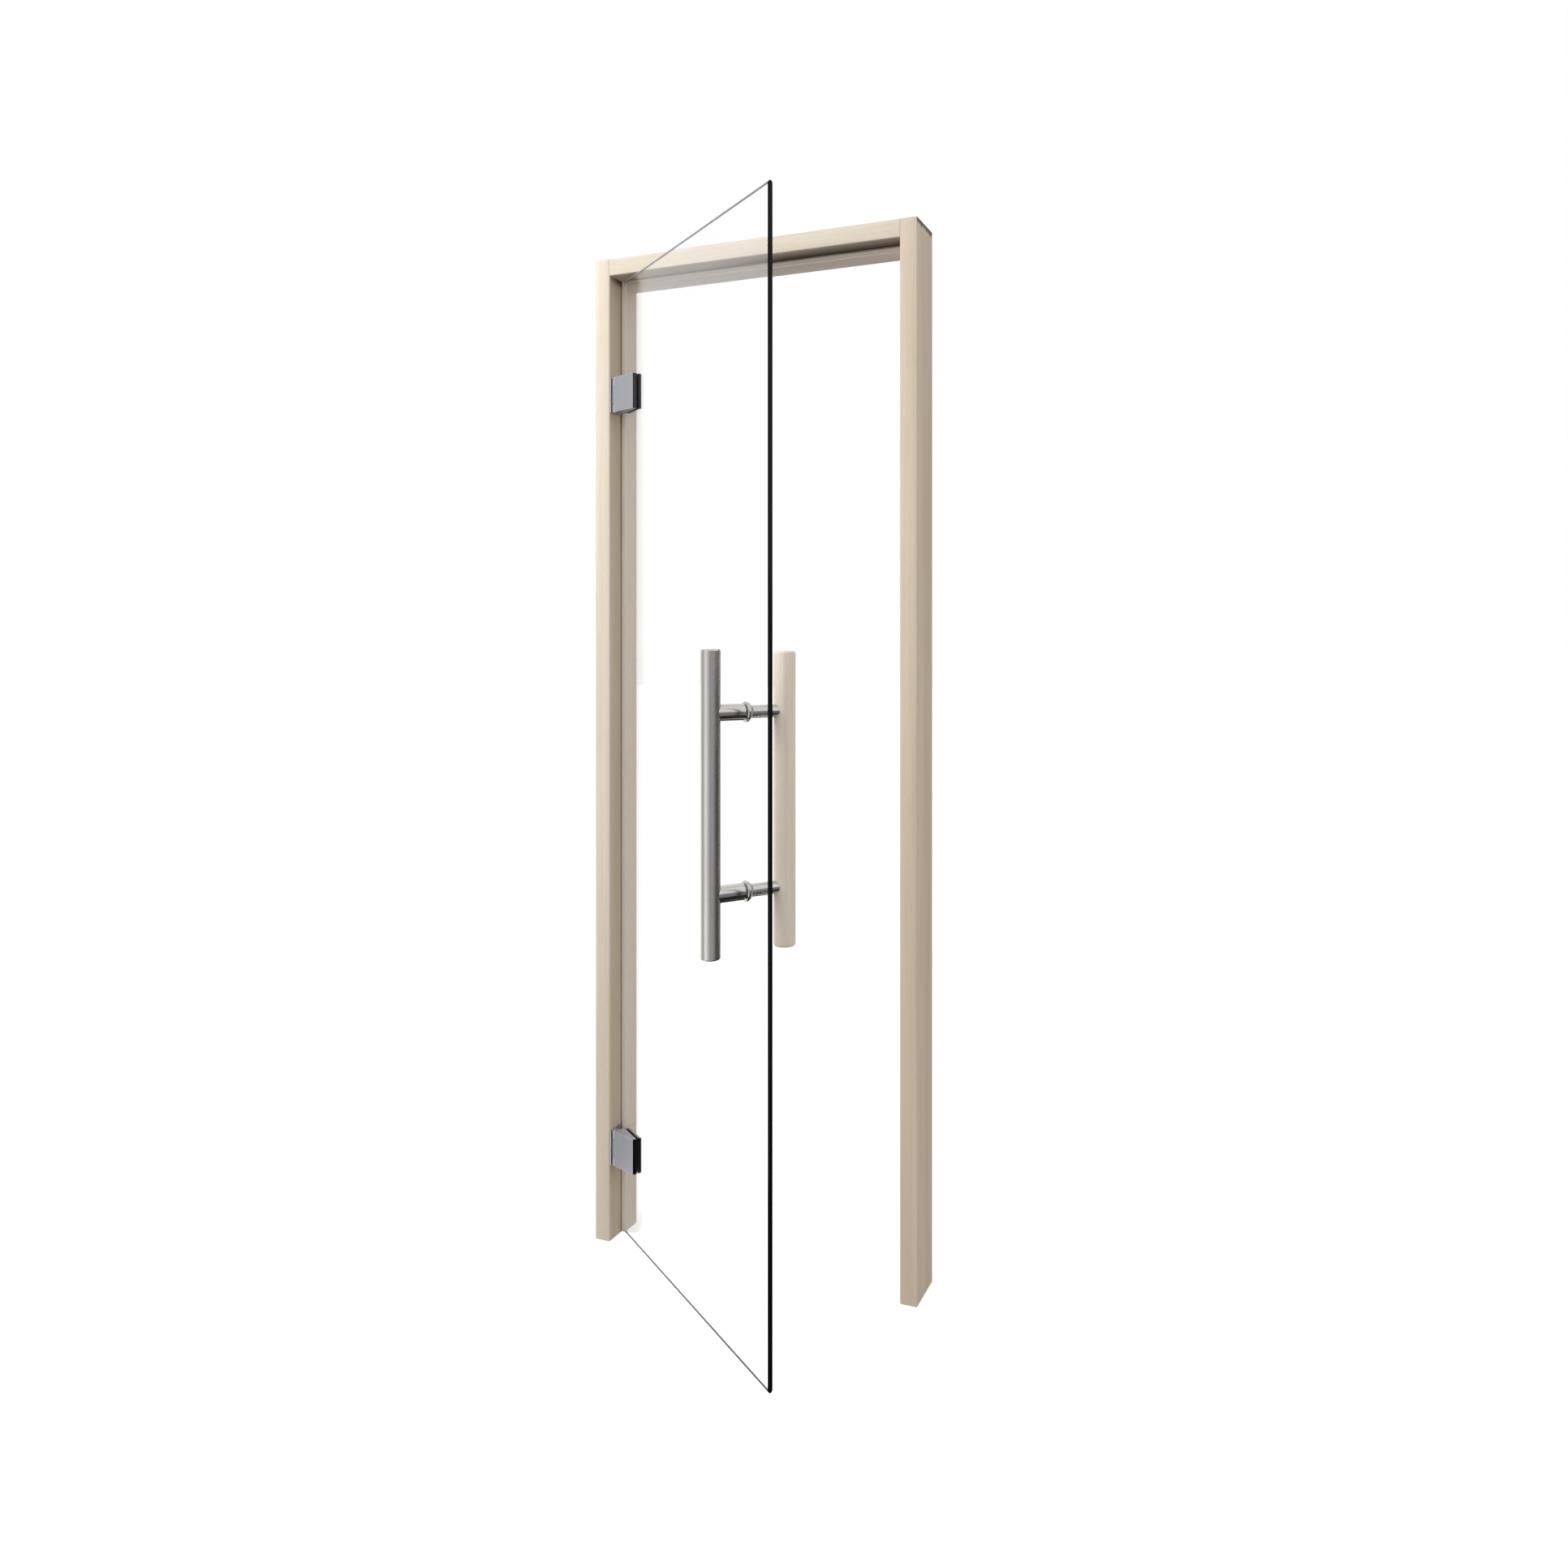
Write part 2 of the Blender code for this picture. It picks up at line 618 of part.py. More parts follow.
def makePosts(label, height, steel, plastic, leaf):
    place = alongY(handleX, height)
    washerFront = glassFront - seatGap - washerThickness
    collarBack = washerFront - seatGap
    collarFront = collarBack - collarThickness
    postBack = collarFront - seatGap
    axisOuter = glassFront - gripStandoff
    bore = studRadius + boreClearance

    # Washers on both faces of the glass
    washer = bmesh.new()
    addRing(washer, bore, collarRadius - washerInset, washerFront, glassFront - seatGap, place)
    finishObject(f"{label}_outer_washer", washer, plastic, leaf)
    washerBack = glassBack + seatGap + washerThickness
    washer = bmesh.new()
    addRing(washer, bore, innerPostRadius - washerInset, glassBack + seatGap, washerBack, place)
    finishObject(f"{label}_inner_washer", washer, plastic, leaf)

    # Collar with rounded rims
    collar = bmesh.new()
    frontRim = roundedEnd(collarRadius, collarFront, collarRound, -1)
    backRim = roundedEnd(collarRadius, collarBack, collarRound, 1)
    profile = [(bore, collarFront)] + frontRim[::-1] + backRim
    profile += [(bore, collarBack), (bore, collarFront)]
    addTurned(collar, profile, roundSteps, place)
    bmesh.ops.remove_doubles(collar, verts=collar.verts, dist=sameSpot)
    finishObject(f"{label}_collar", collar, steel, leaf)

    # Outer post, necked at the collar and hollowed to sit on the steel grip
    outer = bmesh.new()
    neck = postBack - postNeckLength
    profile = [(0, axisOuter), (outerPostRadius, axisOuter), (outerPostRadius, neck)]
    profile += [(postNeckRadius, postBack), (0, postBack)]
    addTurned(outer, profile, roundSteps, place)
    post = finishObject(f"{label}_outer_post", outer, steel, leaf)
    saddle = verticalAt(handleX, axisOuter)
    bottom = height - outerPostRadius - cutMargin
    top = height + outerPostRadius + cutMargin
    cuts = bmesh.new()
    addCylinder(cuts, gripRadius + seatGap, bottom, top, roundSteps, saddle)
    applyBoolean(post, makeCutter(f"{label}_outer_saddle_cutter", cuts, leaf))
    depth = studDepth + boreClearance
    bores = bmesh.new()
    addCylinder(bores, bore, postBack - depth, postBack + cutMargin, smallSteps, place)
    applyBoolean(post, makeCutter(f"{label}_outer_bore_cutter", bores, leaf))

    # Inner post, hollowed to sit on the wood grip
    postFront = washerBack + seatGap
    axisInner = glassBack + woodGripStandoff
    inner = bmesh.new()
    addCylinder(inner, innerPostRadius, postFront, axisInner, roundSteps, place)
    post = finishObject(f"{label}_inner_post", inner, steel, leaf)
    saddle = verticalAt(handleX, axisInner)
    cuts = bmesh.new()
    addCylinder(cuts, woodGripRadius + seatGap, bottom, top, roundSteps, saddle)
    applyBoolean(post, makeCutter(f"{label}_inner_saddle_cutter", cuts, leaf))
    bores = bmesh.new()
    addCylinder(bores, bore, postFront - cutMargin, postFront + depth, smallSteps, place)
    applyBoolean(post, makeCutter(f"{label}_inner_bore_cutter", bores, leaf))

    # Stud that draws both posts to the glass
    stud = bmesh.new()
    addCylinder(stud, studRadius, postBack - studDepth, postFront + studDepth, smallSteps, place)
    finishObject(f"{label}_stud", stud, steel, leaf)


def addRing(bm, bore, radius, low, high, place):
    profile = [(bore, low), (radius, low), (radius, high), (bore, high), (bore, low)]
    addTurned(bm, profile, roundSteps, place)
    bmesh.ops.remove_doubles(bm, verts=bm.verts, dist=sameSpot)


def makeLeafPivot():
    leaf = bpy.data.objects.new("leaf_pivot", None)
    bpy.context.scene.collection.objects.link(leaf)
    leaf.location = (pivotX, pivotY, 0)
    leaf.rotation_euler = (0, 0, -math.radians(openAngle))
    return leaf


def main():
    clearScene()
    timber = makeMaterial("pale_aspen", (0.72, 0.60, 0.46), 0.55)
    gripTimber = makeMaterial("grip_aspen", (0.66, 0.54, 0.40), 0.5)
    silicone = makeMaterial("seal_silicone", (0.55, 0.50, 0.44), 0.7)
    glass = makeMaterial("clear_glass", (0.90, 0.96, 0.95), 0.02, transmission=1.0)
    hingeMetal = makeMaterial("satin_hinge_metal", (0.47, 0.47, 0.50), 0.35, metallic=1.0)
    steel = makeMaterial("brushed_steel", (0.52, 0.51, 0.50), 0.32, metallic=1.0)
    screwMetal = makeMaterial("screw_steel", (0.60, 0.60, 0.60), 0.25, metallic=1.0)
    rubber = makeMaterial("black_rubber", (0.01, 0.01, 0.012), 0.6)
    plastic = makeMaterial("washer_plastic", (0.75, 0.76, 0.76), 0.4)

    hingeJamb = makeJamb("hinge_jamb", False, timber)
    cutPilotHoles(hingeJamb)
    makeJamb("strike_jamb", True, timber)
    makeHead(timber)
    makeSeals(silicone)

    leaf = makeLeafPivot()
    makeGlass(glass, leaf)
    for label, height in hingeHeights.items():
        makeHinge(label, height, hingeMetal, rubber, screwMetal, leaf)
    makeSteelGrip(steel, leaf)
    makeWoodGrip(gripTimber, leaf)
    for label, height in postHeights.items():
        makePosts(label, height, steel, plastic, leaf)


main()
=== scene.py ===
import json
import math

import bmesh
import bpy
from mathutils import Matrix, Vector


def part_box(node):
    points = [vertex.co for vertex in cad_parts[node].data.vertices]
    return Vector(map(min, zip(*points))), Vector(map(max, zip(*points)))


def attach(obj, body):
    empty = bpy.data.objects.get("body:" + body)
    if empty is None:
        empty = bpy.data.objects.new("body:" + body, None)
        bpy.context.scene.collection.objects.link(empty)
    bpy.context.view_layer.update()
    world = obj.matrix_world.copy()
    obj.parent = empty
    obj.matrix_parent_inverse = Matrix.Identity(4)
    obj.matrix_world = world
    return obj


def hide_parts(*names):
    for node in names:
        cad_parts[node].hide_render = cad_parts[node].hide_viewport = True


# Sauna door. Finishes and fine shapes for the timber frame, the glass leaf, its clamp hinges
# and its pull handle. All in metres, +Z up, in the frame's own place.

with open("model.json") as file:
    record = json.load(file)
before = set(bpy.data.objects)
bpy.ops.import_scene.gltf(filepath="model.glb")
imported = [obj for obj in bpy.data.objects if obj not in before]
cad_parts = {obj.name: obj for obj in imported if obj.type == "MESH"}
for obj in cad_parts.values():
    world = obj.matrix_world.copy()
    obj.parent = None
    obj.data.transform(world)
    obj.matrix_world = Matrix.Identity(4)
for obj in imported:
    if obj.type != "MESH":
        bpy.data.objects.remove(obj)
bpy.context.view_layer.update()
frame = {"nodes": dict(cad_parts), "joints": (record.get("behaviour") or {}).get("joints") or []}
scene = bpy.context.scene
print("frame loaded:", len(frame["nodes"]), "pieces")


# Places read from the frame

leafHinge = frame["joints"][0]
openTurn = math.radians(leafHinge["range_deg"][0])  # from shut to how the leaf stands
pivotX, pivotY = leafHinge["pos_m"][:2]
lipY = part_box("head")[0].y
stopY = lipY + 0.045  # the face that the leaf shuts towards
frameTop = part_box("head")[1].z
leafPlace = Matrix.Translation((pivotX, pivotY, 0)) @ Matrix.Rotation(openTurn, 4, "Z")


def leafBox(node):
    # Corners of a leaf piece with the leaf shut, measured from the pivot
    points = [leafPlace.inverted() @ vert.co for vert in frame["nodes"][node].data.vertices]
    low = Vector([min(point[axis] for point in points) for axis in range(3)])
    high = Vector([max(point[axis] for point in points) for axis in range(3)])
    return low, high


# Small helpers for nodes

def addNode(tree, kind, **settings):
    # Nodes stand in rows, in the order that they are made
    row, column = divmod(len(tree.nodes), 12)
    node = tree.nodes.new(kind)
    node.location = (column * 220, row * -320)
    for name, value in settings.items():
        setattr(node, name, value)
    return node


def feed(entry, value):
    # Links a socket to an input, or gives the input a plain value
    if isinstance(value, bpy.types.NodeSocket):
        entry.id_data.links.new(value, entry)
    elif value is not None:
        entry.default_value = value


def fill(node, **values):
    # Feeds inputs by their names, with spaces written as underscores
    for name, value in values.items():
        feed(node.inputs[name.replace("_", " ")], value)
    return node


def linear(red, green, blue):
    # A screen colour, 0 to 255, as Blender's linear one
    def channel(value):
        value /= 255
        return value / 12.92 if value <= 0.04045 else ((value + 0.055) / 1.055) ** 2.4
    return (channel(red), channel(green), channel(blue), 1.0)


def newGroup(name, inputs, outputs, kind="Shader"):
    # A node group with named sockets, whose inputs each user sets
    tree = bpy.data.node_groups.new(name, f"{kind}NodeTree")
    for way, sockets in (("INPUT", inputs), ("OUTPUT", outputs)):
        for label, sort in sockets.items():
            tree.interface.new_socket(label, in_out=way, socket_type=f"NodeSocket{sort}")
    given = addNode(tree, "NodeGroupInput")
    return tree, given.outputs, addNode(tree, "NodeGroupOutput")


def maths(tree, operation, first, second=None):
    # A Math node on two sockets or numbers
    node = addNode(tree, "ShaderNodeMath", operation=operation)
    feed(node.inputs[0], first)
    feed(node.inputs[1], second)
    return node.outputs[0]


def product(tree, *values):
    result = values[0]
    for value in values[1:]:
        result = maths(tree, "MULTIPLY", result, value)
    return result


def alignment(tree, first, second):
    # 1 where two directions agree
    node = addNode(tree, "ShaderNodeVectorMath", operation="DOT_PRODUCT")
    feed(node.inputs[0], first)
    feed(node.inputs[1], second)
    return node.outputs["Value"]


def stretched(tree, vector, share):
    # The coordinates drawn out along Z, so that noise turns into streaks
    node = addNode(tree, "ShaderNodeVectorMath", operation="MULTIPLY")
    feed(node.inputs[0], vector)
    feed(node.inputs[1], (1.0, 1.0, share))
    return node.outputs[0]


def split(tree, vector):
    return fill(addNode(tree, "ShaderNodeSeparateXYZ"), Vector=vector).outputs


def noise(tree, **values):
    return fill(addNode(tree, "ShaderNodeTexNoise"), **values).outputs["Fac"]


def ramped(tree, value, low, high, toLow=0.0, toHigh=1.0):
    node = addNode(tree, "ShaderNodeMapRange", interpolation_type="SMOOTHSTEP")
    fill(node, Value=value, From_Min=low, From_Max=high, To_Min=toLow, To_Max=toHigh)
    return node.outputs["Result"]


def mixedColor(tree, factor, first, second):
    node = addNode(tree, "ShaderNodeMix", data_type="RGBA", blend_type="MIX")
    for place, value in ((0, factor), (6, first), (7, second)):
        feed(node.inputs[place], value)
    return node.outputs[2]


def laidOver(tree, color, look, **masks):
    # Lays the look's colours of these names over one another, each by its share and its mask
    for name, mask in masks.items():
        color = mixedColor(tree, product(tree, mask, look[f"{name}Share"]), color, look[name])
    return color


def chosen(tree, factor, usual, other):
    # The usual shader where the factor is 0, the other where it is 1
    node = addNode(tree, "ShaderNodeMixShader")
    for place, value in enumerate((factor, usual, other)):
        feed(node.inputs[place], value)
    return node.outputs["Shader"]


def bareTree(owner, kind="Material"):
    # The owner's empty node tree, and the input that its surface goes to
    owner.use_nodes = True
    owner.node_tree.nodes.clear()
    output = addNode(owner.node_tree, f"ShaderNodeOutput{kind}")
    return owner.node_tree, output.inputs["Surface"]


# Shared effects

def makeGrainGroup():
    # Timber with its fibres along the vector's Z
    tree, given, wanted = newGroup(
        "Timber Grain",
        {"Vector": "Vector", "Band Scale": "Float", "Fibre Scale": "Float"},
        {"Bands": "Float", "Fibres": "Float", "Flecks": "Float", "Height": "Float"},
    )
    drawn = stretched(tree, given["Vector"], 0.045)
    thin = stretched(tree, given["Vector"], 0.012)
    short = stretched(tree, given["Vector"], 0.06)
    wide = given["Band Scale"]
    fine = given["Fibre Scale"]
    bands = noise(tree, Vector=drawn, Scale=wide, Detail=3.0, Roughness=0.55, Distortion=0.35)
    fibres = noise(tree, Vector=thin, Scale=fine, Detail=4.0, Roughness=0.6, Distortion=0.1)
    flecks = noise(tree, Vector=short, Scale=900.0, Detail=1.0)
    fibreMask = ramped(tree, fibres, 0.30, 0.72)
    fleckMask = ramped(tree, flecks, 0.62, 0.76)
    height = maths(tree, "ADD", fibreMask, product(tree, fleckMask, -0.5))
    fill(wanted, Bands=ramped(tree, bands, 0.36, 0.66), Fibres=fibreMask, Flecks=fleckMask, Height=height)
    return tree


def makeEdgeWearHighlightGroup():
    # 1 along the outer edges of a piece, 0 on its flats; the paler colour laid there is partly wear and
    # partly a painted highlight
    tree, given, wanted = newGroup("Edge Wear And Highlight", {"Width": "Float", "Vector": "Vector"}, {"Mask": "Float"})
    rounded = fill(addNode(tree, "ShaderNodeBevel", samples=6), Radius=given["Width"])
    surface = addNode(tree, "ShaderNodeNewGeometry")
    across = alignment(tree, rounded.outputs["Normal"], surface.outputs["Normal"])
    edge = ramped(tree, across, 0.985, 0.80)
    uneven = noise(tree, Vector=given["Vector"], Scale=55.0, Detail=3.0)
    broken = ramped(tree, uneven, 0.25, 0.70, 0.35, 1.0)
    fill(wanted, Mask=product(tree, edge, broken))
    return tree


def makeBrushGroup():
    # Fine polishing lines along the vector's Z
    tree, given, wanted = newGroup(
        "Brushed Lines", {"Vector": "Vector", "Fineness": "Float"}, {"Lines": "Float", "Patches": "Float"}
    )
    drawn = stretched(tree, given["Vector"], 0.008)
    wide = stretched(tree, given["Vector"], 0.2)
    lines = noise(tree, Vector=drawn, Scale=given["Fineness"], Detail=3.0, Roughness=0.6)
    patches = noise(tree, Vector=wide, Scale=30.0, Detail=2.0)
    fill(wanted, Lines=ramped(tree, lines, 0.3, 0.7), Patches=ramped(tree, patches, 0.35, 0.7))
    return tree


def makeSmudgeGroup():
    # Soft marks that hands and wiping leave
    tree, given, wanted = newGroup("Soft Smudges", {"Vector": "Vector", "Size": "Float"}, {"Mask": "Float"})
    vector = given["Vector"]
    cloudy = noise(tree, Vector=vector, Scale=given["Size"], Detail=5.0, Roughness=0.65, Distortion=0.6)
    fill(wanted, Mask=ramped(tree, cloudy, 0.45, 0.75))
    return tree


grainGroup = makeGrainGroup()
edgeWearHighlightGroup = makeEdgeWearHighlightGroup()
brushGroup = makeBrushGroup()
smudgeGroup = makeSmudgeGroup()
print("shared effects made")


# Materials

def startMaterial(name, viewColor, turn=(0.0, 0.0, 0.0), shift=(0.0, 0.0, 0.0)):
    # A material with its shader and its coordinates
    material = bpy.data.materials.new(name)
    material.diffuse_color = viewColor
    tree, surface = bareTree(material)
    shader = addNode(tree, "ShaderNodeBsdfPrincipled")
    feed(surface, shader.outputs["BSDF"])
    where = addNode(tree, "ShaderNodeTexCoord").outputs["Object"]
    turned = addNode(tree, "ShaderNodeMapping", vector_type="POINT")
    fill(turned, Vector=where, Rotation=turn, Location=shift)
    return material, tree, shader, turned.outputs["Vector"]


def effect(tree, group, vector, **values):
    node = addNode(tree, "ShaderNodeGroup", node_tree=group)
    return fill(node, Vector=vector, **values).outputs


def finishShader(shader, color, rough, height, strength, distance, **values):
    bump = fill(addNode(shader.id_data, "ShaderNodeBump"), Height=height, Strength=strength)
    fill(bump, Distance=distance)
    fill(shader, Base_Color=color, Roughness=rough, Normal=bump.outputs["Normal"], **values)


def stained(tree, color, place, facing, look):
    # A dark band along the upper edge of the outer sides
    uneven = noise(tree, Vector=place, Scale=60.0, Detail=2.0)
    height = maths(tree, "ADD", split(tree, place)["Z"], product(tree, uneven, look["stainHeight"]))
    near = ramped(tree, height, frameTop - look["stainHeight"] * 0.7, frameTop)
    outer = ramped(tree, maths(tree, "ABSOLUTE", facing), 0.6, 0.9)
    return laidOver(tree, color, look, stain=product(tree, near, outer))


def paintRebateLightAndShade(tree, color, place, normal, look):
    # Painted light makes the stop's faces behind the leaf paler; painted shade darkens the rebate's faces,
    # and the top of the rebate most
    spot = split(tree, place)
    inner = ramped(tree, alignment(tree, normal, look["outward"]), 0.3, 0.1)
    behind = ramped(tree, spot["Y"], stopY - 0.003, stopY - 0.001)
    before = ramped(tree, spot["Y"], stopY - 0.0005, stopY - 0.002)
    lipped = ramped(tree, spot["Y"], lipY + 0.002, lipY + 0.006)
    deep = ramped(tree, spot["Y"], lipY + 0.003, stopY - 0.010, 0.45, 1.0)
    high = ramped(tree, spot["Z"], look["dampLow"], look["dampHigh"])
    along = ramped(tree, spot["X"], look["dampFrom"], look["dampTo"])
    # Painted light on the stop's faces
    fresh = product(tree, behind, inner)
    # Painted shade on the rebate's faces between the lip and the stop
    rebate = product(tree, before, lipped, inner)
    # Painted shade, darkest, in the top of the rebate
    damp = product(tree, deep, high, along, rebate)
    return laidOver(tree, color, look, fresh=fresh, rebate=rebate, damp=damp)


def makeTimber(name, look, turn):
    material, tree, shader, vector = startMaterial(name, look["light"], turn, look["shift"])
    scales = {"Band_Scale": look["bandScale"], "Fibre_Scale": look["fibreScale"]}
    grain = effect(tree, grainGroup, vector, **scales)
    edgeWearAndHighlight = effect(tree, edgeWearHighlightGroup, vector, Width=look["edgeWidth"])
    handled = effect(tree, smudgeGroup, vector, Size=look["smudgeSize"])
    place = addNode(tree, "ShaderNodeTexCoord").outputs["Object"]
    normal = addNode(tree, "ShaderNodeNewGeometry").outputs["Normal"]
    facing = split(tree, normal)
    # The sawn ends take more stain than the faces
    sawn = ramped(tree, maths(tree, "ABSOLUTE", facing[look["along"]]), 0.6, 0.9)
    masks = {"dark": grain["Bands"], "fibre": grain["Fibres"], "fleck": grain["Flecks"]}
    masks.update(tint=handled["Mask"], edge=edgeWearAndHighlight["Mask"], end=sawn)
    color = laidOver(tree, look["light"], look, **masks)
    if look["freshShare"]:
        color = paintRebateLightAndShade(tree, color, place, normal, look)
    if look["stainShare"]:
        color = stained(tree, color, place, facing["X"], look)
    low = look["roughness"]
    rough = ramped(tree, grain["Fibres"], 0.0, 1.0, low, low + look["roughSpread"])
    finishShader(shader, color, rough, grain["Height"], look["bump"], 0.0003, Specular_IOR_Level=0.35)
    return material


timberLook = {
    "light": linear(238, 228, 212),
    "dark": linear(217, 202, 180),
    "fibre": linear(190, 172, 146),
    "fleck": linear(176, 155, 128),
    "tint": linear(228, 206, 190),  # the rosier patches of the board
    "edge": linear(240, 231, 216),
    "end": linear(150, 124, 94),
    "bandScale": 14.0,
    "fibreScale": 240.0,
    "darkShare": 0.60,
    "fibreShare": 0.22,
    "fleckShare": 0.20,
    "tintShare": 0.40,
    "edgeShare": 0.45,
    "endShare": 0.75,
    "edgeWidth": 0.0025,
    "smudgeSize": 2.2,
    "roughness": 0.46,
    "roughSpread": 0.14,
    "bump": 0.35,
    "shift": (0.0, 0.0, 0.0),
    "along": "Z",
    # Painted light for the stop, painted shade for the rebate and for the top of the rebate
    "fresh": linear(250, 238, 229),
    "freshShare": 0.75,
    "rebate": linear(178, 158, 120),
    "rebateShare": 0.35,
    "damp": linear(66, 42, 16),  # painted shade in the top of the rebate
    "dampLow": 1.938,
    "dampHigh": 1.956,
    "dampFrom": -0.2,
    "dampTo": -0.1,
    "dampShare": 0.85,
    "outward": (-1.0, 0.0, 0.0),
    "stain": linear(84, 62, 46),
    "stainHeight": 0.0100,  # of the dark line along the top of the outer sides
    "stainShare": 0.85,
}
headLook = {
    **timberLook,
    "along": "X",
    "shift": (0.3, 0.7, 0.2),
    "stainShare": 0.0,
    "outward": (0.0, 0.0, 1.0),
    "dampLow": 1.935,
    "dampHigh": 1.945,
    "dampFrom": 0.20,
    "dampTo": 0.42,
}
strikeLook = {
    **timberLook,
    # A darker copy of the hinge jamb's aspen: painted shade for the jamb that stands farther from the key
    # lamp
    "light": linear(227, 212, 193),
    "dark": linear(203, 184, 157),
    "shift": (0.11, 0.37, 1.3),
    "outward": (1.0, 0.0, 0.0),
}
gripLook = {
    **timberLook,
    # Paler than the frame's aspen: partly a paler wood, partly painted light that makes up for light the
    # grip lacks
    "light": linear(248, 240, 226),
    "dark": linear(236, 224, 204),
    "tint": linear(240, 222, 202),
    "bandScale": 34.0,
    "darkShare": 0.55,
    "smudgeSize": 7.0,
    "edgeWidth": 0.0015,
    "endShare": 0.35,
    "stainShare": 0.0,
    "freshShare": 0.0,
    "shift": (0.2, 0.1, 0.4),
}
upright = (0.0, 0.0, 0.0)
lying = (0.0, math.radians(90), 0.0)  # brings the head's X onto the grain's Z
hingeTimber = makeTimber("aspen_hinge_jamb", timberLook, upright)
strikeTimber = makeTimber("aspen_strike_jamb", strikeLook, upright)
headTimber = makeTimber("aspen_head", headLook, lying)
gripTimber = makeTimber("aspen_grip", gripLook, upright)


def makeMetal(name, look, turn):
    material, tree, shader, vector = startMaterial(name, look["color"], turn)
    brushed = effect(tree, brushGroup, vector, Fineness=look["fineness"])
    edgeWearAndHighlight = effect(tree, edgeWearHighlightGroup, vector, Width=look["edgeWidth"])
    handled = effect(tree, smudgeGroup, vector, Size=look["smudgeSize"])
    masks = {"line": brushed["Lines"], "patch": brushed["Patches"], "edge": edgeWearAndHighlight["Mask"]}
    color = laidOver(tree, look["color"], look, **masks)
    low = look["roughness"]
    rough = ramped(tree, brushed["Lines"], 0.0, 1.0, low, low + look["roughSpread"])
    rough = maths(tree, "ADD", rough, product(tree, handled["Mask"], look["smudgeRough"]))
    finishShader(shader, color, rough, brushed["Lines"], look["bump"], 0.00005, Metallic=look["metallic"])
    return material


steelLook = {
    "color": linear(208, 205, 202),
    "line": linear(172, 168, 164),
    "patch": linear(216, 213, 210),
    "edge": linear(232, 230, 228),
    "fineness": 1500.0,
    "lineShare": 0.40,
    "patchShare": 0.35,
    "edgeShare": 0.60,
    "edgeWidth": 0.0012,
    "smudgeSize": 14.0,
    "smudgeRough": 0.05,
    "roughness": 0.17,
    "roughSpread": 0.12,
    "metallic": 1.0,
    "bump": 0.25,
}
postLook = {**steelLook, "roughness": 0.12, "roughSpread": 0.08, "lineShare": 0.25, "smudgeRough": 0.03}
hingeLook = {
    **steelLook,
    "color": linear(176, 177, 184),
    "line": linear(160, 161, 170),
    "patch": linear(186, 187, 193),
    # The near-white edge colour, wide and strong, is a painted highlight along the hinge's chamfers and rims
    "edge": linear(252, 252, 254),
    "lineShare": 0.30,
    "metallic": 0.6,
    "roughness": 0.30,
    "roughSpread": 0.08,
    "edgeWidth": 0.0016,
    "edgeShare": 0.90,
}
endLook = {
    **hingeLook,
    "color": linear(70, 70, 74),
    "line": linear(52, 52, 56),
    "patch": linear(78, 78, 82),
    "edge": linear(150, 150, 156),
    "edgeShare": 0.35,
    "metallic": 1.0,
}
screwLook = {**steelLook, "fineness": 2600.0, "roughness": 0.2, "edgeWidth": 0.0004}
alongPost = (math.radians(90), 0.0, -openTurn)
gripSteel = makeMetal("brushed_grip_steel", steelLook, upright)
postSteel = makeMetal("brushed_post_steel", postLook, alongPost)
hingeMetal = makeMetal("satin_hinge_metal", hingeLook, upright)
hingeEnd = makeMetal("dark_hinge_end", endLook, upright)
screwSteel = makeMetal("screw_steel", screwLook, upright)


def makeSoft(name, look):
    # Rubber, silicone and plastic: even colour, fine pitting, paler edges
    material, tree, shader, vector = startMaterial(name, look["color"])
    pits = noise(tree, Vector=vector, Scale=look["pitScale"], Detail=2.0)
    cloudy = effect(tree, smudgeGroup, vector, Size=look["smudgeSize"])
    edgeWearAndHighlight = effect(tree, edgeWearHighlightGroup, vector, Width=look["edgeWidth"])
    color = laidOver(tree, look["color"], look, cloud=cloudy["Mask"], edge=edgeWearAndHighlight["Mask"])
    rough = ramped(tree, pits, 0.3, 0.7, look["roughness"] - 0.06, look["roughness"] + 0.06)
    finishShader(shader, color, rough, pits, look["bump"], 0.0001)
    return material


rubberLook = {
    "color": linear(16, 16, 18),
    "cloud": linear(30, 30, 32),
    "edge": linear(44, 44, 46),
    "pitScale": 1800.0,
    "smudgeSize": 40.0,
    "edgeWidth": 0.0005,
    "cloudShare": 0.5,
    "edgeShare": 0.5,
    "roughness": 0.6,
    "bump": 0.3,
}
sealLook = {
    **rubberLook,
    # The pale colour is partly the silicone's own and partly painted light, raised to lift the shaded seam
    # beside the glass
    "color": linear(236, 228, 216),
    "cloud": linear(224, 214, 200),
    "edge": linear(242, 236, 226),
    "pitScale": 900.0,
    "smudgeSize": 6.0,
    "roughness": 0.5,
}
washerLook = {**sealLook, "color": linear(206, 208, 208), "cloud": linear(190, 192, 192), "roughness": 0.4}
gasketRubber = makeSoft("black_gasket_rubber", rubberLook)
sealSilicone = makeSoft("pale_seal_silicone", sealLook)
washerPlastic = makeSoft("clear_washer_plastic", washerLook)


glassLook = {
    "tint": linear(255, 255, 255),
    "wiped": linear(252, 253, 255),
    "wipedShare": 0.4,
    "ior": 1.5,
    "smudgeSize": 3.0,
}


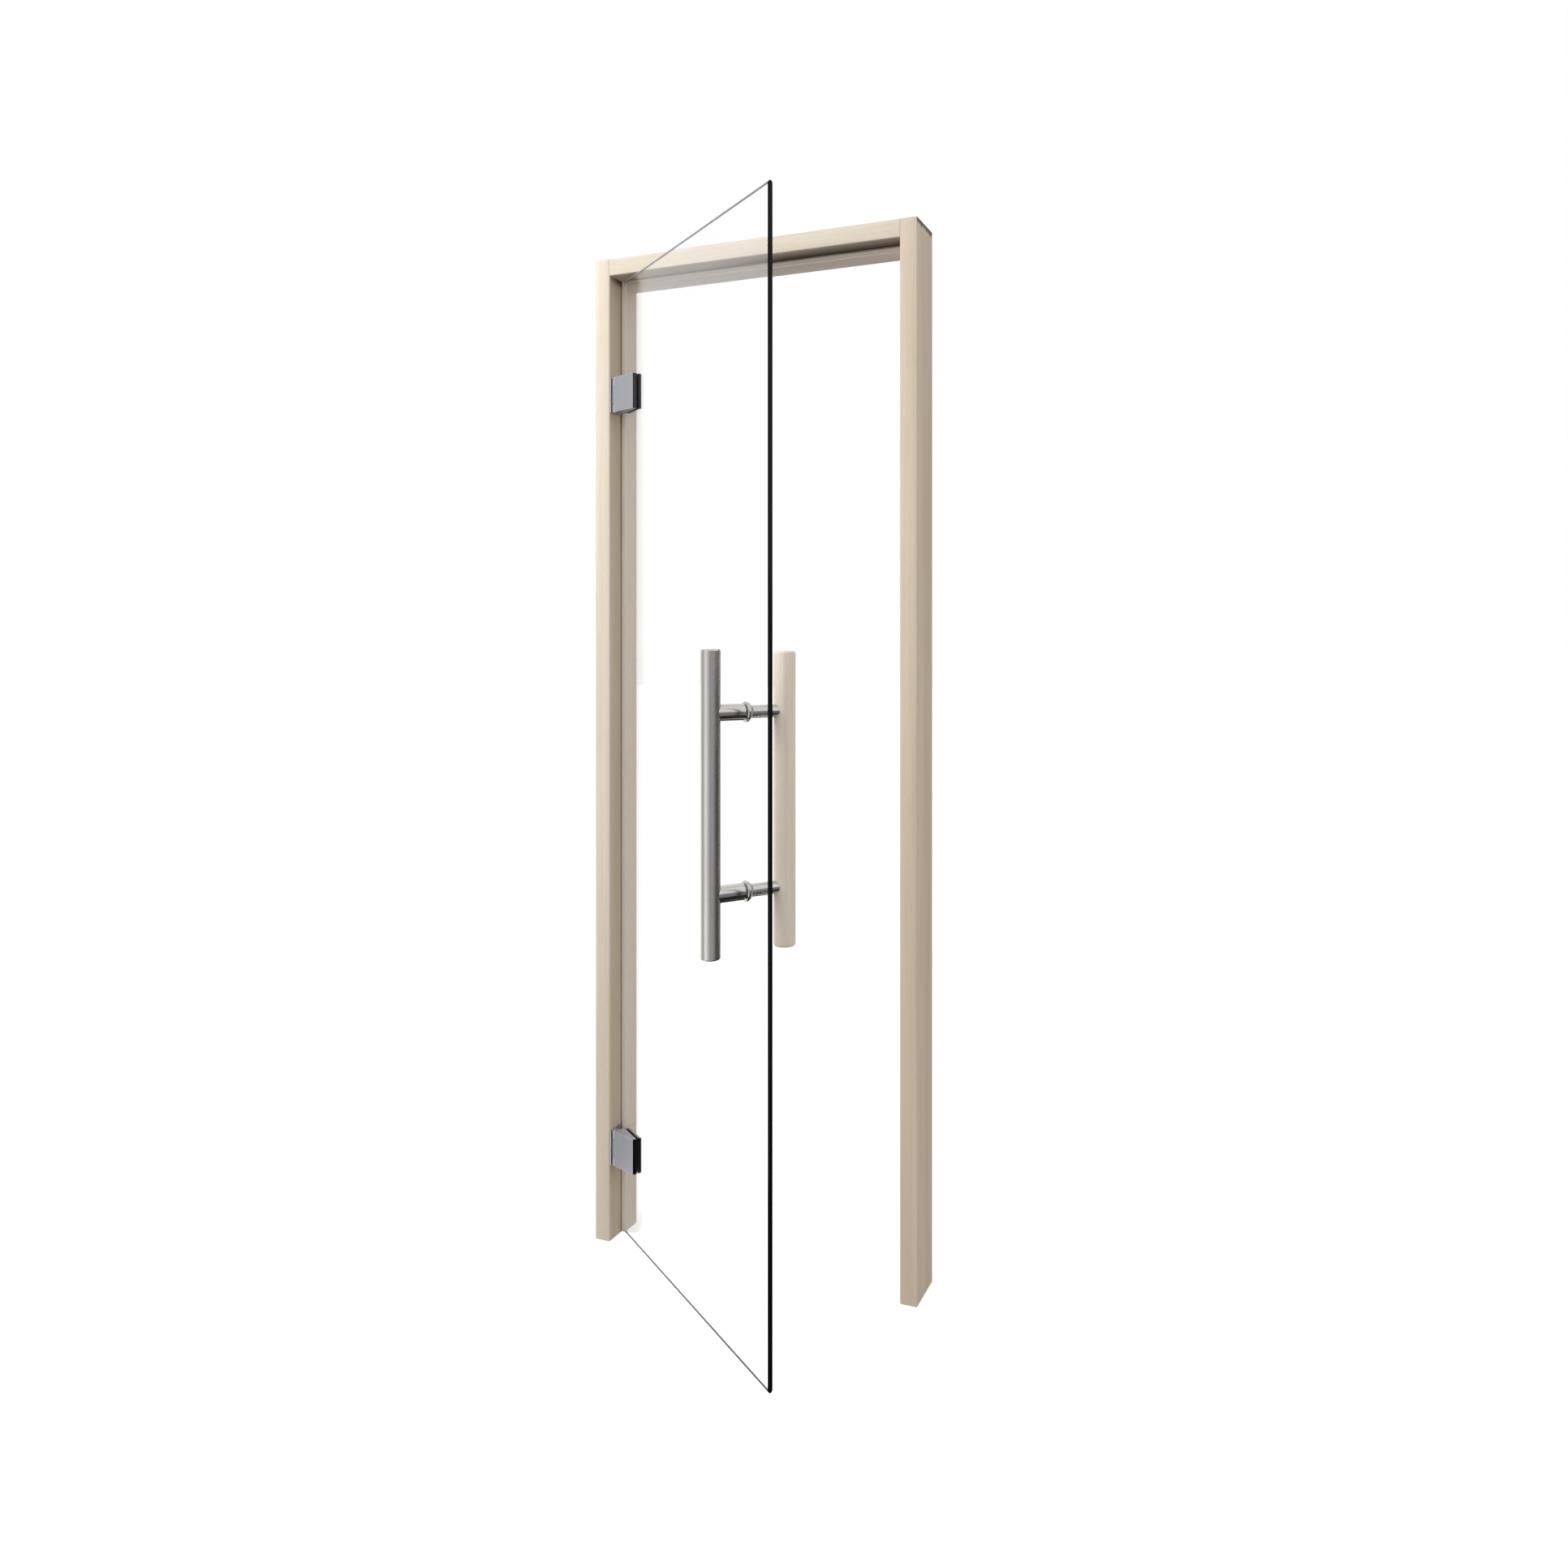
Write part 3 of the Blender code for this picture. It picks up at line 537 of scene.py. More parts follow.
def makeClearGlass():
    material, tree, shader, vector = startMaterial("clear_glass", glassLook["tint"])
    wiped = effect(tree, smudgeGroup, vector, Size=glassLook["smudgeSize"])
    color = laidOver(tree, glassLook["tint"], glassLook, wiped=wiped["Mask"])
    fill(shader, Base_Color=color, Roughness=0.0, IOR=glassLook["ior"], Transmission_Weight=1.0)
    # Light from the lamps and the timber, and what the metal mirrors, goes straight through
    path = addNode(tree, "ShaderNodeLightPath").outputs
    straight = addNode(tree, "ShaderNodeBsdfTransparent").outputs["BSDF"]
    pane = shader.outputs["BSDF"]
    sharp = chosen(tree, path["Is Singular Ray"], straight, pane)
    shown = chosen(tree, path["Is Glossy Ray"], pane, sharp)
    shown = chosen(tree, path["Is Diffuse Ray"], shown, straight)
    shown = chosen(tree, path["Is Shadow Ray"], shown, straight)
    feed(tree.nodes["Material Output"].inputs["Surface"], shown)
    return material


def makeRim(name, look):
    # The ground rim of the pane, which looks down the length of the glass. Each side gets its own copy, and
    # its colour is painted light and shade: dark and near-black on the free and bottom rims, grey on the
    # top, pale on the hinge rim that lies in the rebate's shade
    material, tree, shader, vector = startMaterial(name, look["color"])
    ground = effect(tree, brushGroup, vector, Fineness=look["fineness"])
    cloudy = effect(tree, smudgeGroup, vector, Size=look["smudgeSize"])
    color = laidOver(tree, look["color"], look, cloud=cloudy["Mask"])
    rough = ramped(tree, ground["Lines"], 0.0, 1.0, 0.10, 0.22)
    shine = {"Coat_Weight": 0.6 * look["shine"], "Coat_Roughness": 0.05, "Specular_IOR_Level": look["shine"]}
    finishShader(shader, color, rough, ground["Lines"], 0.15, 0.00005, **shine)
    return material


freeRimLook = {
    "color": linear(12, 13, 16),
    "cloud": linear(26, 24, 30),
    "cloudShare": 0.6,
    "shine": 0.1,
    "fineness": 700.0,
    "smudgeSize": 5.0,
}
topRimLook = {**freeRimLook, "color": linear(148, 144, 156), "cloud": linear(162, 158, 169), "shine": 0.15}
footRimLook = {**freeRimLook, "cloud": linear(28, 28, 32), "shine": 0.0}
hingeRimLook = {**freeRimLook, "color": linear(244, 236, 236), "cloud": linear(236, 230, 238), "shine": 0.5}
clearGlass = makeClearGlass()
freeRim = makeRim("dark_glass_edge", freeRimLook)
topRim = makeRim("grey_glass_edge", topRimLook)
footRim = makeRim("deep_glass_edge", footRimLook)
hingeRim = makeRim("pale_glass_edge", hingeRimLook)
print("materials made:", len(bpy.data.materials))


# Mesh helpers

def addThing(name, data):
    thing = bpy.data.objects.new(name, data)
    scene.collection.objects.link(thing)
    return thing


def plainMesh(name, points, edges=(), faces=()):
    mesh = bpy.data.meshes.new(name)
    mesh.from_pydata(points, edges, faces)
    return mesh


def smoothed(mesh, sharpAngle=30):
    mesh.shade_smooth()
    mesh.set_sharp_from_angle(angle=math.radians(sharpAngle))
    return mesh


def toMesh(bm, name, place=None, sharpAngle=30):
    if place:
        bmesh.ops.transform(bm, matrix=place, verts=bm.verts)
    bmesh.ops.recalc_face_normals(bm, faces=bm.faces)
    mesh = bpy.data.meshes.new(name)
    bm.to_mesh(mesh)
    bm.free()
    return smoothed(mesh, sharpAngle)


def paint(mesh, *materials):
    mesh.materials.clear()
    for material in materials:
        mesh.materials.append(material)


def layPiece(name, mesh, material, body, slot, *nodes):
    # Puts a finished mesh on its body, in the place of the nodes that it stands for
    piece = addThing(name, mesh)
    if material:
        paint(mesh, material)
    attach(piece, body)
    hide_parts(*nodes)


def dress(node, material):
    # Gives one of the frame's own pieces its material
    frame["nodes"][node].material_slots[0].material = material


def circle(sides):
    return [2 * math.pi * step / sides for step in range(sides)]


def joinRings(bm, rings):
    # Faces between each ring of points and the next; a ring of one point gets a fan
    for lower, upper in zip(rings, rings[1:]):
        sides = max(len(lower), len(upper))
        for step in range(sides):
            after = (step + 1) % sides
            corners = [lower[step % len(lower)], lower[after % len(lower)]]
            corners += [upper[after % len(upper)], upper[step % len(upper)]]
            bm.faces.new(list(dict.fromkeys(corners)))


def turnProfile(profile, sides, place):
    # Turns (radius, height) points about Z; a closed profile ends where it starts
    bm = bmesh.new()
    closed = profile[0] == profile[-1]
    rings = []
    for radius, height in profile[:-1] if closed else profile:
        ring = []
        for angle in circle(sides if radius else 1):
            point = Vector((radius * math.cos(angle), radius * math.sin(angle), height))
            ring.append(bm.verts.new(place @ point))
        rings.append(ring)
    joinRings(bm, rings + rings[:1] if closed else rings)
    return bm


def quarterRound(radius, end, rounding, steps=5):
    # From the side of a bar to its end, as (radius, height); a low end has its rounding below 0
    points = []
    for step in range(steps + 1):
        angle = math.pi / 2 * step / steps
        size = radius - abs(rounding) * (1 - math.cos(angle))
        points.append((size, end - rounding * (1 - math.sin(angle))))
    return points


def copyNode(node):
    bm = bmesh.new()
    bm.from_mesh(frame["nodes"][node].data)
    bmesh.ops.remove_doubles(bm, verts=bm.verts, dist=0.00002)
    return bm


def flatten(bm):
    # Joins the triangles of each flat face
    bmesh.ops.dissolve_limit(bm, angle_limit=math.radians(0.5), verts=bm.verts, edges=bm.edges)


def ease(bm, edges, size, steps, profile):
    bmesh.ops.bevel(bm, geom=edges, offset=size, segments=steps, affect="EDGES", profile=profile)


def evaluatedMesh(thing):
    graph = bpy.context.evaluated_depsgraph_get()
    graph.update()
    return bpy.data.meshes.new_from_object(thing.evaluated_get(graph), depsgraph=graph)


def removeThings(*things):
    for thing in things:
        bpy.data.objects.remove(thing, do_unlink=True)


# Timber frame: the frame's own pieces with their long outer edges eased

timberShape = {"easing": 0.0012, "steps": 3, "longEdge": 0.3, "corner": 60.0, "buttGap": 0.00028}


def makeTimberPiece(node, material):
    bm = copyNode(node)
    spot = 0.00002
    flatten(bm)
    if node == "head":
        # The joiner drives the butt joints up tight
        low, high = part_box(node)
        for vert in bm.verts:
            if vert.co.x < low.x + spot:
                vert.co.x -= timberShape["buttGap"]
            elif vert.co.x > high.x - spot:
                vert.co.x += timberShape["buttGap"]
    sharp = []
    for edge in bm.edges:
        if edge.calc_length() > timberShape["longEdge"] and edge.is_manifold:
            if edge.calc_face_angle_signed() > math.radians(timberShape["corner"]):
                sharp.append(edge)
    ease(bm, sharp, timberShape["easing"], timberShape["steps"], 0.5)
    name = f"{node}_timber"
    layPiece(name, toMesh(bm, name, None, 35), material, "frame", "timber", node)


def makeTimberFrame():
    grains = {"hinge_jamb": hingeTimber, "strike_jamb": strikeTimber, "head": headTimber}
    for node, material in grains.items():
        makeTimberPiece(node, material)
    print("timber made")


# Glass leaf

# What the ground arris gains on the uprights in front, on the level edges and into the thickness
paneShape = {"upright": 0.0016, "level": 0.0030, "inward": 0.0014, "nearRim": 0.0016}


def widenArris(bm, low, high):
    # Moves the two lines that bound the ground arris apart, on the faces and on the edges
    near = paneShape["nearRim"]
    spot = 0.00003
    for vert in bm.verts:
        place = vert.co.copy()
        inFront = place.y < low.y + spot
        onFace = inFront or place.y > high.y - spot
        for axis, gain in ((0, paneShape["upright"] * inFront), (2, paneShape["level"])):
            if onFace and place[axis] < low[axis] + near:
                vert.co[axis] += gain
            elif onFace and place[axis] > high[axis] - near:
                vert.co[axis] -= gain
        if not onFace and min(place.x - low.x, high.x - place.x, place.z - low.z, high.z - place.z) < spot:
            inward = 1 if place.y < (low.y + high.y) / 2 else -1
            vert.co.y += inward * paneShape["inward"]


def makePane():
    low, high = leafBox("glass_leaf")
    bm = copyNode("glass_leaf")
    bmesh.ops.transform(bm, matrix=leafPlace.inverted(), verts=bm.verts)
    widenArris(bm, low, high)
    bm.normal_update()
    for face in bm.faces:
        normal = face.normal
        if abs(normal.y) > 0.9:
            face.material_index = 0
        elif abs(normal.x) > 0.5:
            face.material_index = 1 if normal.x > 0 else 3
        else:
            face.material_index = 2 if normal.z > 0 else 4
    bmesh.ops.transform(bm, matrix=leafPlace, verts=bm.verts)
    mesh = bpy.data.meshes.new("glass_pane")
    bm.to_mesh(mesh)
    bm.free()
    for material in (clearGlass, freeRim, topRim, hingeRim, footRim):
        mesh.materials.append(material)
    layPiece("glass_pane", mesh, None, "leaf", "glass", "glass_leaf")
    print("glass pane made")


# Pull handle

handleLook = {
    "sides": 96,
    "capRound": 0.0028,
    "capAcross": 1.8,  # how much wider than high the rounding is
    "gripRound": 0.0040,
    "neckLength": 0.003,
    "neckRadius": 0.0118,
    "collarRound": 0.0020,
    "tubeWall": 0.0015,
    "seat": 0.0003,
}


def layTurned(name, profile, place, material, slot, node):
    mesh = toMesh(turnProfile(profile, handleLook["sides"], place), name, leafPlace)
    layPiece(name, mesh, material, "leaf", slot, node)


def uprightBar(node):
    # The ends, the radius and the axis of an upright bar
    low, high = leafBox(node)
    axis = Matrix.Translation(((low.x + high.x) / 2, (low.y + high.y) / 2, 0))
    return low.z, high.z, (high.x - low.x) / 2, axis


def roundedBar(radius, bore, low, high, rounding):
    # Profile of a bar or ring with both its rims rounded
    lowRim = quarterRound(radius, low, -rounding)
    highRim = quarterRound(radius, high, rounding)
    return [(bore, low)] + lowRim[::-1] + highRim + [(bore, high)]


def makeGrips():
    seat = handleLook["seat"]
    bottom, top, radius, axis = uprightBar("steel_grip")
    bore = radius - handleLook["tubeWall"]
    tube = [(bore, bottom), (radius, bottom), (radius, top), (bore, top), (bore, bottom)]
    layTurned("steel_grip_tube", tube, axis, gripSteel, "steel", "steel_grip")
    for label, side in (("upper", 1), ("lower", -1)):
        inner, end = uprightBar(f"{label}_grip_cap")[:2][::side]
        shoulder = (top if side > 0 else bottom) + side * seat
        plug = bore - seat
        profile = [(0, inner), (plug, inner), (plug, shoulder), (radius, shoulder)]
        for size, height in quarterRound(radius, end, side * handleLook["capRound"]):
            profile.append((radius - (radius - size) * handleLook["capAcross"], height))
        profile.append((0, end))
        layTurned(f"{label}_grip_end", profile, axis, gripSteel, "steel", f"{label}_grip_cap")
    bottom, top, radius, axis = uprightBar("wood_grip")
    profile = roundedBar(radius, 0, bottom, top, handleLook["gripRound"])
    layTurned("wood_grip_bar", profile, axis, gripTimber, "grip_timber", "wood_grip")


def makePost(node, barNode, side, neck):
    # A round post whose end is hollowed to the bar; side is +1 where the bar is in front of the glass
    low, high = leafBox(node)
    barLow, barHigh = leafBox(barNode)
    radius = (high.z - low.z) / 2
    middle = (low + high) / 2
    barY = (barLow.y + barHigh.y) / 2
    saddle = (barHigh.x - barLow.x) / 2 + handleLook["seat"]
    end = high.y if side > 0 else low.y
    bm = bmesh.new()

    def ring(size, y=None):
        verts = []
        for angle in circle(handleLook["sides"]):
            across = size * math.cos(angle)
            depth = barY + side * math.sqrt(saddle ** 2 - across ** 2) if y is None else y
            verts.append(bm.verts.new((middle.x + across, depth, middle.z + size * math.sin(angle))))
        return verts

    heart = bm.verts.new((middle.x, barY + side * saddle, middle.z))
    rings = [[heart], ring(radius * 0.5), ring(radius)]
    if neck:
        rings += [ring(radius, end - side * handleLook["neckLength"]), ring(handleLook["neckRadius"], end)]
    else:
        rings += [ring(radius, end)]
    joinRings(bm, rings)
    bm.faces.new(rings[-1])
    return toMesh(bm, node, leafPlace)


def makeCollar(label):
    low, high = leafBox(f"{label}_collar")
    studLow, studHigh = leafBox(f"{label}_stud")
    bore = (studHigh.z - studLow.z) / 2 + handleLook["seat"]
    profile = roundedBar((high.z - low.z) / 2, bore, low.y, high.y, handleLook["collarRound"])
    place = Matrix.Translation(((low.x + high.x) / 2, 0, (low.z + high.z) / 2))
    place = place @ Matrix.Rotation(-math.pi / 2, 4, "X")
    layTurned(f"{label}_collar_ring", profile + profile[:1], place, postSteel, "steel", f"{label}_collar")


def makePosts():
    for label in ("upper", "lower"):
        for side, bar, way in (("outer", "steel_grip", 1), ("inner", "wood_grip", -1)):
            node = f"{label}_{side}_post"
            mesh = makePost(node, bar, way, side == "outer")
            layPiece(f"{label}_{side}_stem", mesh, postSteel, "leaf", "steel", node)
            dress(f"{label}_{side}_washer", washerPlastic)
        makeCollar(label)
        dress(f"{label}_stud", postSteel)
    print("pull handle made")


# Hinges

clampLook = {
    "tip": 0.007,
    "start": 0.006,  # where the clamp first lies on the glass
    "chamfer": 0.0020,
    "tipChamfer": 0.0026,
    "bulge": 0.6,  # shape of the chamfers
    "arcSteps": 28,
    "knuckle": 0.036,
    "earRoom": 0.0012,
    "earTurn": 75.0,
    "pinRadius": 0.003,
    "pinRoom": 0.0003,
    "pinSides": 40,
    "dome": 0.0009,  # of the pin's heads
    "domeSteps": 5,
    "headHeight": 0.0015,
}


def tangentPoint(outside, radius, side):
    distance = math.hypot(*outside)
    angle = math.atan2(outside[1], outside[0]) + side * math.acos(radius / distance)
    return radius * math.cos(angle), radius * math.sin(angle)


def arc(start, end, radius, steps):
    # Clockwise about the pivot, seen from above
    first = math.atan2(start[1], start[0])
    last = math.atan2(end[1], end[0])
    if last > first:
        last -= 2 * math.pi
    angles = [first + (last - first) * step / steps for step in range(steps + 1)]
    return [(radius * math.cos(angle), radius * math.sin(angle)) for angle in angles]


def prism(outline, bottom, top):
    bm = bmesh.new()
    face = bm.faces.new([bm.verts.new((x, y, bottom)) for x, y in outline])
    raised = bmesh.ops.extrude_face_region(bm, geom=[face])["geom"]
    lifted = [part for part in raised if isinstance(part, bmesh.types.BMVert)]
    bmesh.ops.translate(bm, vec=(0, 0, top - bottom), verts=lifted)
    return bm


def cutMesh(mesh, cutters, name):
    # Takes the cutters out of a mesh and gives back the plain result
    thing = addThing(name, mesh)
    helpers = [addThing("cutter", toMesh(bm, "cutter")) for bm in cutters]
    for helper in helpers:
        modifier = thing.modifiers.new("cut", "BOOLEAN")
        modifier.object = helper
        modifier.solver = "EXACT"
    result = evaluatedMesh(thing)
    removeThings(thing, *helpers)
    return result


def layHingePart(name, mesh, node):
    # The end towards the middle of the leaf is dark, the rest satin
    paint(mesh, hingeMetal, hingeEnd)
    for face in mesh.polygons:
        face.material_index = 1 if face.normal.x > 0.95 else 0
    mesh.transform(leafPlace)
    layPiece(name, smoothed(mesh), None, "leaf", "hinge_metal", node)


def makeRearPlate(label):
    node = f"{label}_hinge_rear_plate"
    bm = copyNode(node)
    bmesh.ops.transform(bm, matrix=leafPlace.inverted(), verts=bm.verts)
    flatten(bm)
    layHingePart(f"{label}_plate_shaped", toMesh(bm, node), node)


def makeWedge(low, high):
    # The clamp's body, round about the pin and sloping to its tip, with its front edges eased
    barrel = -low.x
    steps = clampLook["arcSteps"]
    tip = (high.x, high.y - clampLook["tip"])
    heel = (leafBox("glass_leaf")[0].x + clampLook["start"], high.y)
    front = tangentPoint(tip, barrel, -1)
    back = tangentPoint(heel, barrel, 1)
    bm = prism([heel, (high.x, high.y), tip] + arc(front, back, barrel, steps), low.z, high.z)
    spot = 0.0001
    rims = []
    tips = []
    for edge in bm.edges:
        ends = [vert.co for vert in edge.verts]
        level = abs(ends[0].z - ends[1].z) < spot
        plan = [min(math.dist(end.to_2d(), corner) for end in ends) for corner in (front, tip)]
        if level and max(plan) < spot:
            rims.append(edge)
        elif not level and plan[1] < spot:
            tips.append(edge)
    ease(bm, tips, clampLook["tipChamfer"], 2, clampLook["bulge"])
    ease(bm, [edge for edge in rims if edge.is_valid], clampLook["chamfer"], 3, clampLook["bulge"])
    return bm


def makeClamp(label):
    node = f"{label}_hinge_front_clamp"
    low, high = leafBox(node)
    room = clampLook["earRoom"] - low.x
    half = clampLook["knuckle"] / 2
    middle = (low.z + high.z) / 2
    bottom = low.z - room
    top = high.z + room
    # Room for the bracket's barrels above and below the knuckle, and the hole for the pin
    turn = math.radians(clampLook["earTurn"])
    sweep = arc((math.cos(turn), math.sin(turn)), (0, -1), room, clampLook["arcSteps"])
    beyond = room * math.sin(turn) + room
    ear = sweep + [(-2 * room, -room), (-2 * room, beyond), (sweep[0][0], beyond)]
    bore = clampLook["pinRadius"] + clampLook["pinRoom"]
    hole = [(0, bottom), (bore, bottom), (bore, top), (0, top)]
    cutters = [prism(ear, bottom, middle - half), prism(ear, middle + half, top)]
    cutters.append(turnProfile(hole, clampLook["pinSides"], Matrix.Identity(4)))
    mesh = cutMesh(toMesh(makeWedge(low, high), node), cutters, node)
    layHingePart(f"{label}_clamp_wedge", mesh, node)


def makeHingePin(label):
    node = f"{label}_hinge_pin"
    low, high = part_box(node)
    head = (high.x - low.x) / 2
    radius = clampLook["pinRadius"]
    rise = clampLook["dome"]
    dome = []
    for step in range(clampLook["domeSteps"]):
        angle = math.pi / 2 * step / clampLook["domeSteps"]
        dome.append((head * math.cos(angle), rise * math.sin(angle)))
    dome.append((0, rise))
    bottom = low.z + clampLook["headHeight"]
    top = high.z - clampLook["headHeight"]
    profile = [(size, low.z + rise - height) for size, height in dome[::-1]]
    profile += [(head, bottom), (radius, bottom), (radius, top), (head, top)]
    profile += [(size, high.z - rise + height) for size, height in dome]
    place = Matrix.Translation((pivotX, pivotY, 0))
    mesh = toMesh(turnProfile(profile, clampLook["pinSides"], place), f"{label}_pin")
    layPiece(f"{label}_domed_pin", mesh, screwSteel, "frame", "screw_metal", node)


def finishHinges():
    for label in ("upper", "lower"):
        makeClamp(label)
        makeRearPlate(label)
        makeHingePin(label)
        dress(f"{label}_hinge_bracket", hingeMetal)
        dress(f"{label}_hinge_outer_gasket", gasketRubber)
        dress(f"{label}_hinge_inner_gasket", gasketRubber)
    print("hinges finished")


# Helpers for geometry nodes

def endTree(tree, shape, finish, wanted):
    # The last nodes of a tree: a plain mesh with its material
    real = fill(addNode(tree, "GeometryNodeRealizeInstances"), Geometry=shape)
    painted = addNode(tree, "GeometryNodeSetMaterial")
    fill(painted, Geometry=real.outputs["Geometry"], Material=finish)
    feed(wanted.inputs[0], painted.outputs["Geometry"])
    tree.is_modifier = True
    return tree


def grow(name, mesh, tree, **values):
    # Runs a tree on a mesh, with its inputs given by their names, and gives back the plain result
    thing = addThing(name, mesh)
    modifier = thing.modifiers.new(name, "NODES")
    modifier.node_group = tree
    for socket in tree.interface.items_tree:
        label = socket.name.replace(" ", "_")
        if label in values:
            modifier[socket.identifier] = values[label]
    result = evaluatedMesh(thing)
    removeThings(thing)
    return result


# Screws, laid by geometry nodes on the places of the plain ones

screwLooks = {
    "wall_screws": {
        "body": "frame",
        "nodes": "hinge_wall_screw",
        "aim": Vector((1, 0, 0)),
        "radii": {"Shank_Radius": 0.0018, "Head_Radius": 0.0036},
        "recess": {"Recess_Radius": 0.0019, "Recess_Depth": 0.0013},
    },
    "clamp_screws": {
        "body": "leaf",
        "nodes": "hinge_clamp_screw",
        "aim": leafPlace.to_3x3() @ Vector((0, 1, 0)),
        "radii": {"Shank_Radius": 0.0025, "Head_Radius": 0.0047},
        "recess": {"Recess_Radius": 0.0023, "Recess_Depth": 0.0017},
    },
}
screwShape = {
    "headSides": 40,
    "shankSides": 24,
    "recessSides": 6,
    "shankShare": 0.98,  # of the plain screw's radius and length, so that it stays inside
    "shankMiddle": 0.505,  # of the length, below the head's face
}


def lowered(tree, shape, depth, share):
    # The shape moved down by this share of the depth
    down = addNode(tree, "ShaderNodeCombineXYZ")
    fill(down, Z=product(tree, depth, -share))
    moved = addNode(tree, "GeometryNodeTransform")
    fill(moved, Geometry=shape.outputs["Mesh"], Translation=down.outputs["Vector"])
    return moved.outputs["Geometry"]


def makeScrewTree():
    tree, given, wanted = newGroup(
        "Countersunk Screws",
        {
            "Places": "Geometry",
            "Aim": "Vector",
            "Head Radius": "Float",
            "Shank Radius": "Float",
            "Length": "Float",
            "Recess Radius": "Float",
            "Recess Depth": "Float",
            "Recess Sides": "Int",
            "Finish": "Material",
        },
        {"Screws": "Geometry"},
        "Geometry",
    )
    wide = given["Head Radius"]
    slim = given["Shank Radius"]
    share = screwShape["shankShare"]
    # A screw with its head's face at the origin and its shank down -Z
    depth = maths(tree, "SUBTRACT", wide, slim)
    cone = addNode(tree, "GeometryNodeMeshCone")
    fill(cone, Vertices=screwShape["headSides"], Radius_Top=wide, Radius_Bottom=slim, Depth=depth)
    rod = fill(addNode(tree, "GeometryNodeMeshCylinder"), Vertices=screwShape["shankSides"])
    fill(rod, Radius=product(tree, slim, share), Depth=product(tree, given["Length"], share))
    whole = addNode(tree, "GeometryNodeMeshBoolean", operation="UNION", solver="EXACT")
    fill(whole, Mesh_2=lowered(tree, cone, depth, 1.0))
    fill(whole, Mesh_2=lowered(tree, rod, given["Length"], screwShape["shankMiddle"]))
    bit = fill(addNode(tree, "GeometryNodeMeshCylinder"), Vertices=given["Recess Sides"])
    fill(bit, Radius=given["Recess Radius"], Depth=product(tree, given["Recess Depth"], 2.0))
    recessed = addNode(tree, "GeometryNodeMeshBoolean", operation="DIFFERENCE", solver="EXACT")
    fill(recessed, Mesh_1=whole.outputs["Mesh"], Mesh_2=bit.outputs["Mesh"])
    turn = addNode(tree, "FunctionNodeAlignRotationToVector", axis="Z")
    fill(turn, Vector=given["Aim"])
    laid = addNode(tree, "GeometryNodeInstanceOnPoints")
    fill(laid, Points=given["Places"], Instance=recessed.outputs["Mesh"], Rotation=turn.outputs["Rotation"])
    return endTree(tree, laid.outputs["Instances"], given["Finish"], wanted)


def makeScrews():
    tree = makeScrewTree()
    for name, look in screwLooks.items():
        nodes = [f"{label}_{look['nodes']}_{end}" for label in ("upper", "lower") for end in ("low", "high")]
        places = []
        for node in nodes:
            points = [vert.co for vert in frame["nodes"][node].data.vertices]
            heights = [point.dot(look["aim"]) for point in points]
            face = max(heights)
            length = face - min(heights)
            rim = [point for point, height in zip(points, heights) if height > face - 0.00005]
            places.append(sum(rim, Vector()) / len(rim))
        values = {"Aim": tuple(look["aim"]), "Length": length, "Finish": screwSteel}
        values["Recess_Sides"] = screwShape["recessSides"]
        mesh = grow(name, plainMesh(name, places), tree, **values, **look["radii"], **look["recess"])
        layPiece(name, smoothed(mesh), screwSteel, look["body"], "screw_metal", *nodes)
        print(name, "made:", len(mesh.polygons), "faces")


# Seal: a hollow-looking lobe on a flat strip, swept up the rebate, across and down

sealShape = {"base": 0.0016, "lobe": 0.0030, "inset": 0.0004, "lobeSteps": 14}


def sealProfile(width, height):
    # Section of the seal, its flat back on y = 0 and its lobe towards +Y
    base = sealShape["base"]
    lobe = sealShape["lobe"]
    half = width / 2
    points = [(-half, 0.0), (half, 0.0), (half, base)]
    for step in range(sealShape["lobeSteps"] + 1):
        angle = math.pi * step / sealShape["lobeSteps"]
        points.append((lobe * math.cos(angle), base + (height - base) * math.sin(angle)))
    points.append((-half, base))
    return points


def makeSweepTree():
    tree, given, wanted = newGroup(
        "Section Along Path",
        {"Path": "Geometry", "Section": "Object", "Facing": "Vector", "Finish": "Material"},
        {"Strip": "Geometry"},
        "Geometry",
    )
    path = fill(addNode(tree, "GeometryNodeMeshToCurve"), Mesh=given["Path"])
    facing = addNode(tree, "GeometryNodeSetCurveNormal", mode="FREE")
    fill(facing, Curve=path.outputs["Curve"], Normal=given["Facing"])
    drawing = fill(addNode(tree, "GeometryNodeObjectInfo"), Object=given["Section"])
    section = fill(addNode(tree, "GeometryNodeMeshToCurve"), Mesh=drawing.outputs["Geometry"])
    swept = fill(addNode(tree, "GeometryNodeCurveToMesh"), Fill_Caps=True)
    fill(swept, Curve=facing.outputs["Curve"], Profile_Curve=section.outputs["Curve"])
    return endTree(tree, swept.outputs["Mesh"], given["Finish"], wanted)


